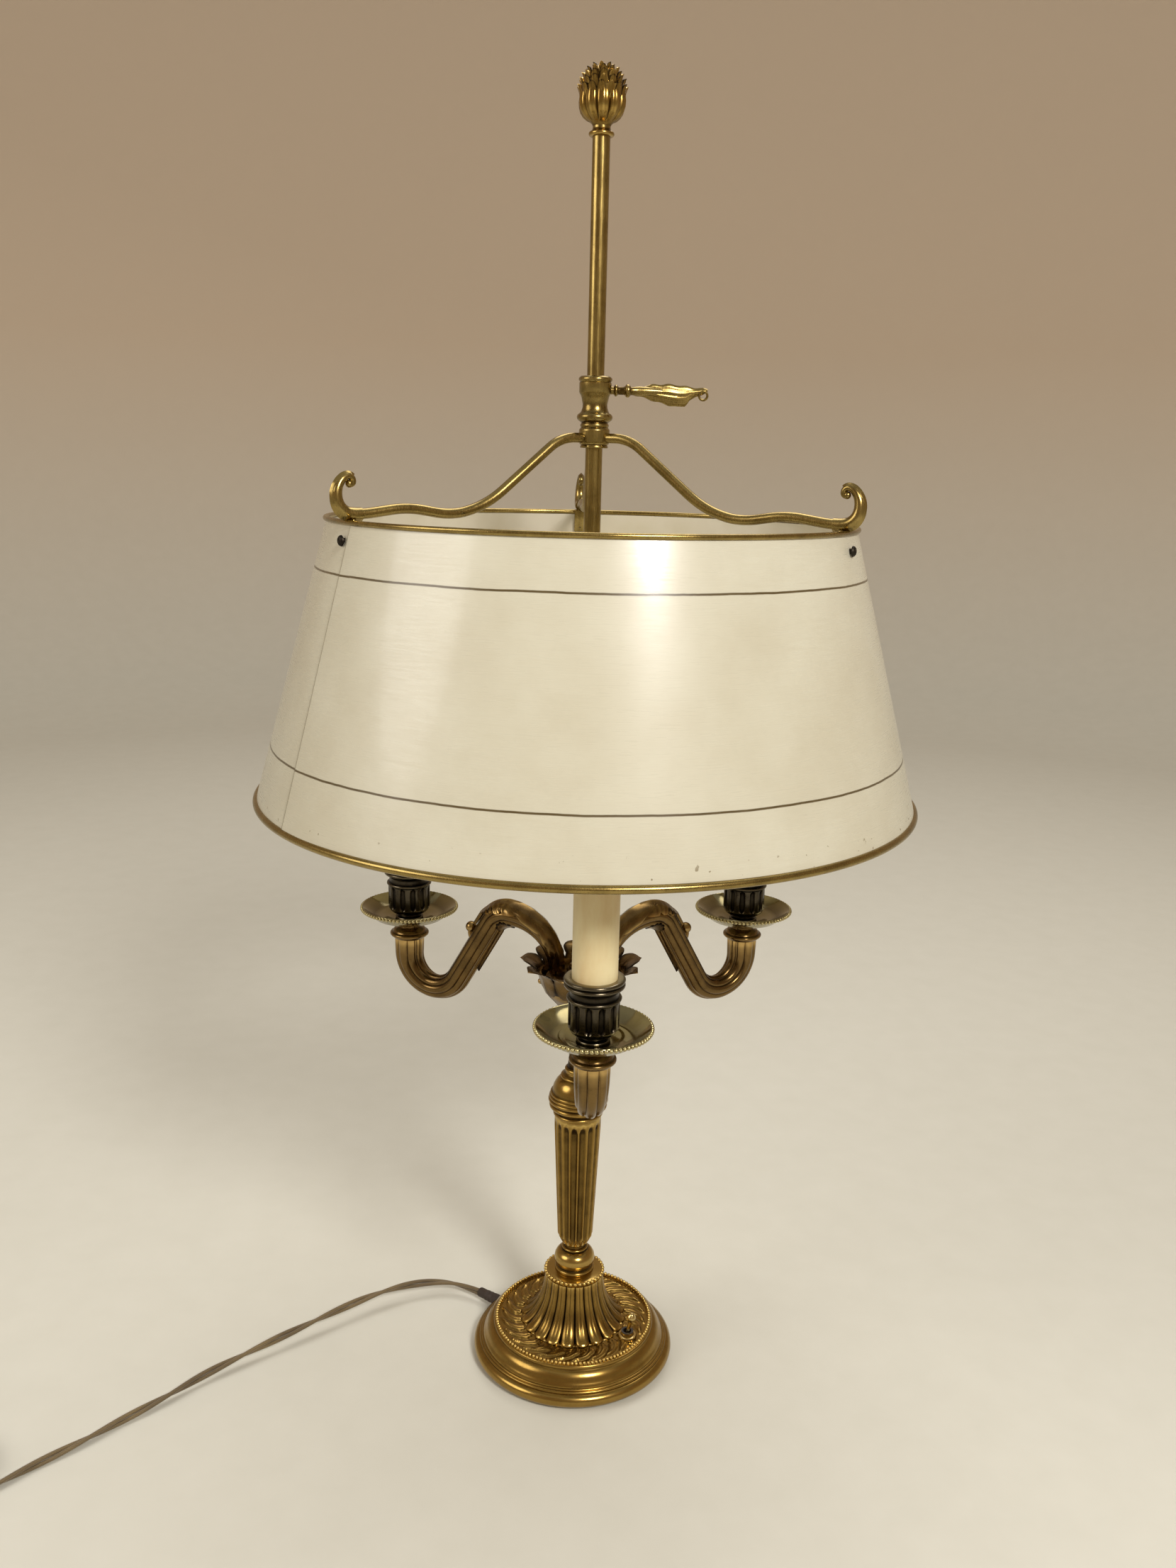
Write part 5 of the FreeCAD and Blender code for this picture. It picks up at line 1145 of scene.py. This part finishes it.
def make_switch():
    """A toggle switch on the foot's plate: knurled ring nut, bush and ball lever."""
    place = Matrix.Rotation(math.radians(SWITCH_TURN), 4, "Z") @ Matrix.Translation((SWITCH_CIRCLE, 0, 0))
    knurls, pivot, tilt = 24, 24.9, 11
    ring = turned([(0, 23.2), (6.2, 23.2), (6.2, 24.6), (5.7, 25.2), (4.4, 25.4), (4.2, 25.2), (4.0, 27.2),
                   (3.4, 27.6), (2.8, 27.4), (2.7, 25.4), (0, 25.2)], 48)

    def knurling(turn, radius, _):
        return 0.3 * (0.5 + 0.5 * math.cos(knurls * turn)) if radius > 5.9 else 0.0

    carved(ring, knurling)
    ring.transform(place)
    piece("switch_ring_nut", ring, "switch_metal", ["switch_nut"])
    lever = turned([
        (0, -2.6), (2.0, -1.6), (2.5, 0.0), (1.5, 2.2), (1.25, 4.0), (1.3, 8.4), (1.5, 10.6),
        (1.9, 11.6, 0.55), (2.0, 15.6, 0.3), (0, 17.0)], 28)
    lever.transform(place @ Matrix.Translation((0, 0, pivot)) @ Matrix.Rotation(math.radians(tilt), 4, "Y"))
    piece("switch_lever", lever, "switch_metal", ["switch_toggle"], "toggle")


# Cord, coil and plug

# The same route as the part's, in metres.
LEAD_ROUTE = [
    (-0.0730, 0.0591, 0.0060),
    (-0.0970, 0.0608, 0.0090),
    (-0.1280, 0.0490, 0.0110),
    (-0.1600, 0.0265, 0.0104),
    (-0.1960, -0.0005, 0.0084),
    (-0.2320, -0.0265, 0.0056),
    (-0.2620, -0.0550, 0.0036),
    (-0.2960, -0.0860, 0.00275),
    (-0.3310, -0.1170, 0.00275),
    (-0.3610, -0.1440, 0.00275),
]
CORD_HEIGHT = 0.0060
CORD_START = 0.0602
CORD_RADIUS = 0.0026
CORD_STEP = 0.0028
STRAND_PITCH = 0.105
COIL_RADIUS = 0.0404
COIL_PITCH = 0.00585
COIL_TURNS = 3.25
CLIMB = 0.5
TAIL = 0.020


def coil_frame():
    """The coil's centre, and the turn at which the lead meets it."""
    end = Vector(LEAD_ROUTE[-1])
    ahead = end - Vector(LEAD_ROUTE[-2])
    ahead.z = 0
    ahead.normalize()
    centre = end + Vector((ahead.y, -ahead.x, 0)) * COIL_RADIUS
    centre.z = 0
    return centre, math.atan2(end.y - centre.y, end.x - centre.x)


def coil_point(turns):
    """In on the lower layer, a half turn up, and out again on the upper layer."""
    centre, start = coil_frame()
    low = LEAD_ROUTE[-1][2]
    if turns <= COIL_TURNS:
        radius, level = COIL_RADIUS - COIL_PITCH * turns, low
    elif turns <= COIL_TURNS + CLIMB:
        share = (turns - COIL_TURNS) / CLIMB
        radius = COIL_RADIUS - COIL_PITCH * (COIL_TURNS + CLIMB * share * (1 - share))
        level = low + COIL_PITCH * share * share * (3 - 2 * share)
    else:
        radius = COIL_RADIUS - COIL_PITCH * (2 * COIL_TURNS + CLIMB - turns)
        level = low + COIL_PITCH
    angle = start - 2 * math.pi * turns
    return centre + Vector((radius * math.cos(angle), radius * math.sin(angle), level))


def cord_route():
    """Control points of the whole cord, from inside the foot to the plug."""
    turn = math.radians(CORD_EXIT)
    points = [Vector((CORD_START * math.cos(turn), CORD_START * math.sin(turn), CORD_HEIGHT))]
    points += [Vector(point) for point in LEAD_ROUTE]
    turns = 2 * COIL_TURNS + CLIMB
    per_turn = 24
    count = round(turns * per_turn)
    points += [coil_point(turns * step / count) for step in range(1, count + 1)]
    ahead = (points[-1] - points[-2]).normalized()
    tail = points[-1] + ahead * TAIL
    points += [points[-1] + ahead * (TAIL / 2), tail]
    return points, tail, ahead


def route_line(points):
    """Points along the NURBS cord through these control points, evenly apart."""
    curve = bpy.data.curves.new("cord_route", "CURVE")
    curve.dimensions = "3D"
    curve.resolution_u = 6
    spline = curve.splines.new("NURBS")
    spline.points.add(len(points) - 1)
    for control, point in zip(spline.points, points):
        control.co = (*point, 1.0)
    spline.order_u = 3
    spline.use_endpoint_u = True
    holder = bpy.data.objects.new("cord_route", curve)
    mesh = bpy.data.meshes.new_from_object(holder)
    line = [vert.co.copy() for vert in mesh.vertices]
    bpy.data.objects.remove(holder)
    bpy.data.meshes.remove(mesh)
    bpy.data.curves.remove(curve)
    even = [line[0]]
    rest = CORD_STEP
    for near, far in zip(line, line[1:]):
        span = (far - near).length
        while span > 1e-9 and rest <= span:
            even.append(near + (far - near) * (rest / span))
            rest += CORD_STEP
        rest -= span
    even.append(line[-1])
    return even


def make_cord():
    """Two braided cores twisted about each other, the strain relief, the plug and the tie."""
    points, tail, ahead = cord_route()
    line = route_line(points)
    up = Vector((0, 0, 1))
    strand_radius, strand_circle = 1.28, 1.3
    strands = []
    for start in (0.0, math.pi):
        stations = []
        for index, place in enumerate(line):
            along = direction(line, index)
            side = along.cross(up).normalized()
            above = side.cross(along).normalized()
            twist = start + 2 * math.pi * index * CORD_STEP / STRAND_PITCH
            offset = (side * math.cos(twist) + above * math.sin(twist)) * strand_circle
            stations.append((place / MM + offset, side, above, strand_radius))
        strands.append(swept(stations, round_section(9), uv=True))
    length = sum((far - near).length for near, far in zip(line, line[1:]))
    cord = piece("mains_cord", merged(*strands), "cord_textile", ["cord_lead", "cord_coil"])

    turn = math.radians(CORD_EXIT)
    inner = 60.0
    bush = turned([(0, 0), (3.9, 0), (3.9, 7.4), (3.8, 8.0), (3.75, 9.2), (3.5, 9.6), (3.5, 10.8),
                   (3.7, 11.2), (3.65, 12.4), (3.4, 12.8), (3.4, 14.0), (3.6, 14.4), (3.5, 15.6),
                   (3.3, 16.0), (3.3, 21.4), (3.0, 22.0), (0, 22.0)], 28)
    bush.transform(Matrix.Translation((inner * math.cos(turn), inner * math.sin(turn), CORD_HEIGHT / MM))
                   @ Matrix.Rotation(turn, 4, "Z") @ Matrix.Rotation(math.radians(90), 4, "Y"))
    sleeve = piece("cord_strain_relief", bush, "cord_rubber", ["cord_bush"])

    plug = make_plug(tail, ahead)
    tie = make_tie()
    [tuple(place) for place in line]


def make_plug(tail, ahead):
    """A rounded two-pin plug with a narrow tapered neck."""
    half_widths = [(0, 3.5), (4, 3.9), (9, 4.3), (14, 4.7), (18, 5.1), (20.5, 12.0), (24, 15.6), (29, 17.4),
                   (46, 17.5), (50, 16.6), (51, 15.6)]
    half_thickness = 7.5
    stations = [(Vector((along, 0, 0)), Vector((0, 1, 0)), Vector((0, 0, 1)), wide)
                for along, wide in half_widths]
    section = [tuple(math.copysign(abs(value) ** 0.6, value) for value in pair) for pair in round_section(32)]
    body = swept(stations, section)
    for vert in body.verts:
        wide = next(wide for along, wide in half_widths if vert.co.x <= along + 0.01)
        vert.co.z *= min(wide, half_thickness) / wide
    place = Matrix.Translation(tail / MM) @ Matrix.Rotation(math.atan2(ahead.y, ahead.x), 4, "Z")
    body.transform(place)
    case = piece("plug_moulding", body, "plug_plastic", ["plug_body"])
    pins = bmesh.new()
    for side in (-9.3, 9.3):
        pin = turned([(0, 0), (2.0, 0), (2.0, 17.6, 0.3), (1.2, 19.0), (0, 19.0)], 20)
        pin.transform(place @ Matrix.Translation((51, side, 0)) @ Matrix.Rotation(math.radians(90), 4, "Y"))
        pins = merged(pins, pin)
    return [case, piece("plug_turned_pins", pins, "plug_pin_metal", ["plug_pins"])]


def make_tie():
    """A nylon strap round the turns, with a small head."""
    centre, start = coil_frame()
    inner = (COIL_RADIUS - COIL_PITCH * COIL_TURNS - CORD_RADIUS) / MM - 0.6
    outer = (COIL_RADIUS + CORD_RADIUS) / MM + 0.8
    low, high = 0.30, 11.8
    corners = [(inner + 1.5, low), (outer - 1.5, low, 0.4), (outer, low + 1.5), (outer, high - 1.5, 0.4),
               (outer - 1.5, high), (inner + 1.5, high, 0.4), (inner, high - 1.5), (inner, low + 1.5, 0.4),
               (inner + 1.5, low)]
    points = profile(corners)[:-1]
    middle = Vector(((inner + outer) / 2, (low + high) / 2))
    stations = []
    for point in (*points, points[0]):
        out = (point - middle).normalized()
        stations.append((Vector((point.x, 0, point.y)), Vector((0, 1, 0)), Vector((out.x, 0, out.y)), 1.0))
    strap = swept(stations, [(-3.0, -0.2), (3.0, -0.2), (3.0, 0.2), (-3.0, 0.2)], caps=False)
    head = bmesh.new()
    bmesh.ops.create_cube(head, size=1,
                          matrix=Matrix.Translation((outer - 7, 0, high)) @ Matrix.Diagonal((5, 6.4, 1, 1)))
    bmesh.ops.bevel(head, geom=list(head.edges), offset=0.3, segments=2, profile=0.5, affect="EDGES",
                    material=-1)
    whole = merged(strap, head)
    bmesh.ops.remove_doubles(whole, verts=whole.verts, dist=0.001)
    bmesh.ops.recalc_face_normals(whole, faces=whole.faces)
    whole.transform(Matrix.Translation((centre.x / MM, centre.y / MM, 0))
                    @ Matrix.Rotation(start + math.radians(150), 4, "Z"))
    return piece("coil_strap", whole, "tie_plastic", ["cord_tie"])


# Studio


def make_floor():
    """A pale paper floor that curves up all round into a warmer wall."""
    bowl = turned([(0, -0.3), (2200, -0.3), (2300, -0.3, 0.414), (3200, 900), (3200, 3800)])
    bowl.transform(Matrix.Scale(MM, 4))
    mesh = bpy.data.meshes.new("studio_floor")
    bowl.to_mesh(mesh)
    bowl.free()
    mesh.shade_smooth()
    material, tree, shader, place = new_material("studio_paper")
    height = add(tree, "ShaderNodeSeparateXYZ", None, {"Vector": place}).outputs["Z"]
    floor = blended(tree, patches(tree, place, 30, 5.0), colour("#cfcec3"), colour("#d6d5cb"))
    feed(tree, shader, {
        "Base Color": blended(tree, spread(tree, height, 0.05, 0.9), floor, colour("#d6c5b0")),
        "Roughness": 0.7,
        "Specular IOR Level": 0.25})
    mesh.materials.append(material)
    floor_item = bpy.data.objects.new("studio_floor", mesh)
    scene.collection.objects.link(floor_item)
    return floor_item


# Each lamp's name, place, width and power.
LAMPS = (("key_lamp", (0.62, -1.55, 1.5), 0.5, 31),
         ("fill_lamp", (-1.7, -0.6, 1.3), 1.2, 13),
         ("top_lamp", (0.3, 0.9, 2.1), 1.4, 16))
LAMP_COLOUR = (1.0, 0.965, 0.92)
LAMP_AIM = (0, 0, 0.35)


def make_studio():
    """The floor, three soft lamps and a dim sky."""
    floor_item = make_floor()
    for name, place, size, power in LAMPS:
        data = bpy.data.lights.new(name, "AREA")
        data.shape = "DISK"
        data.size = size
        data.energy = power
        data.color = LAMP_COLOUR
        lamp = bpy.data.objects.new(name, data)
        scene.collection.objects.link(lamp)
        lamp.location = place
        lamp.rotation_mode = "QUATERNION"
        lamp.rotation_quaternion = (Vector(LAMP_AIM) - Vector(place)).to_track_quat("-Z", "Y")
    world = bpy.data.worlds.new("studio_sky")
    world.use_nodes = True
    sky = world.node_tree.nodes["Background"]
    feed(world.node_tree, sky, {"Color": colour("#cfc9c0"), "Strength": 0.7})
    scene.world = world
    scene.view_settings.view_transform = "Standard"


def dress_frame():
    """Gives each CAD solid that stays, shown or hidden, its slot's material."""
    for entry in frame["record"]["subparts"]:
        node = frame["nodes"][entry["node"]]
        node.data.materials.clear()
        node.data.materials.append(MATERIALS[entry["material_slot"]])


place_camera()
make_cord()
dress_frame()
make_foot()
make_bell()
make_column()
make_hub()
make_arms()
make_pans()
make_cups()
make_sleeves()
make_bulbs()
make_stem()
make_slide()
make_key()
make_carriers()
make_shade()
make_shade_screws()
make_switch()
make_studio()
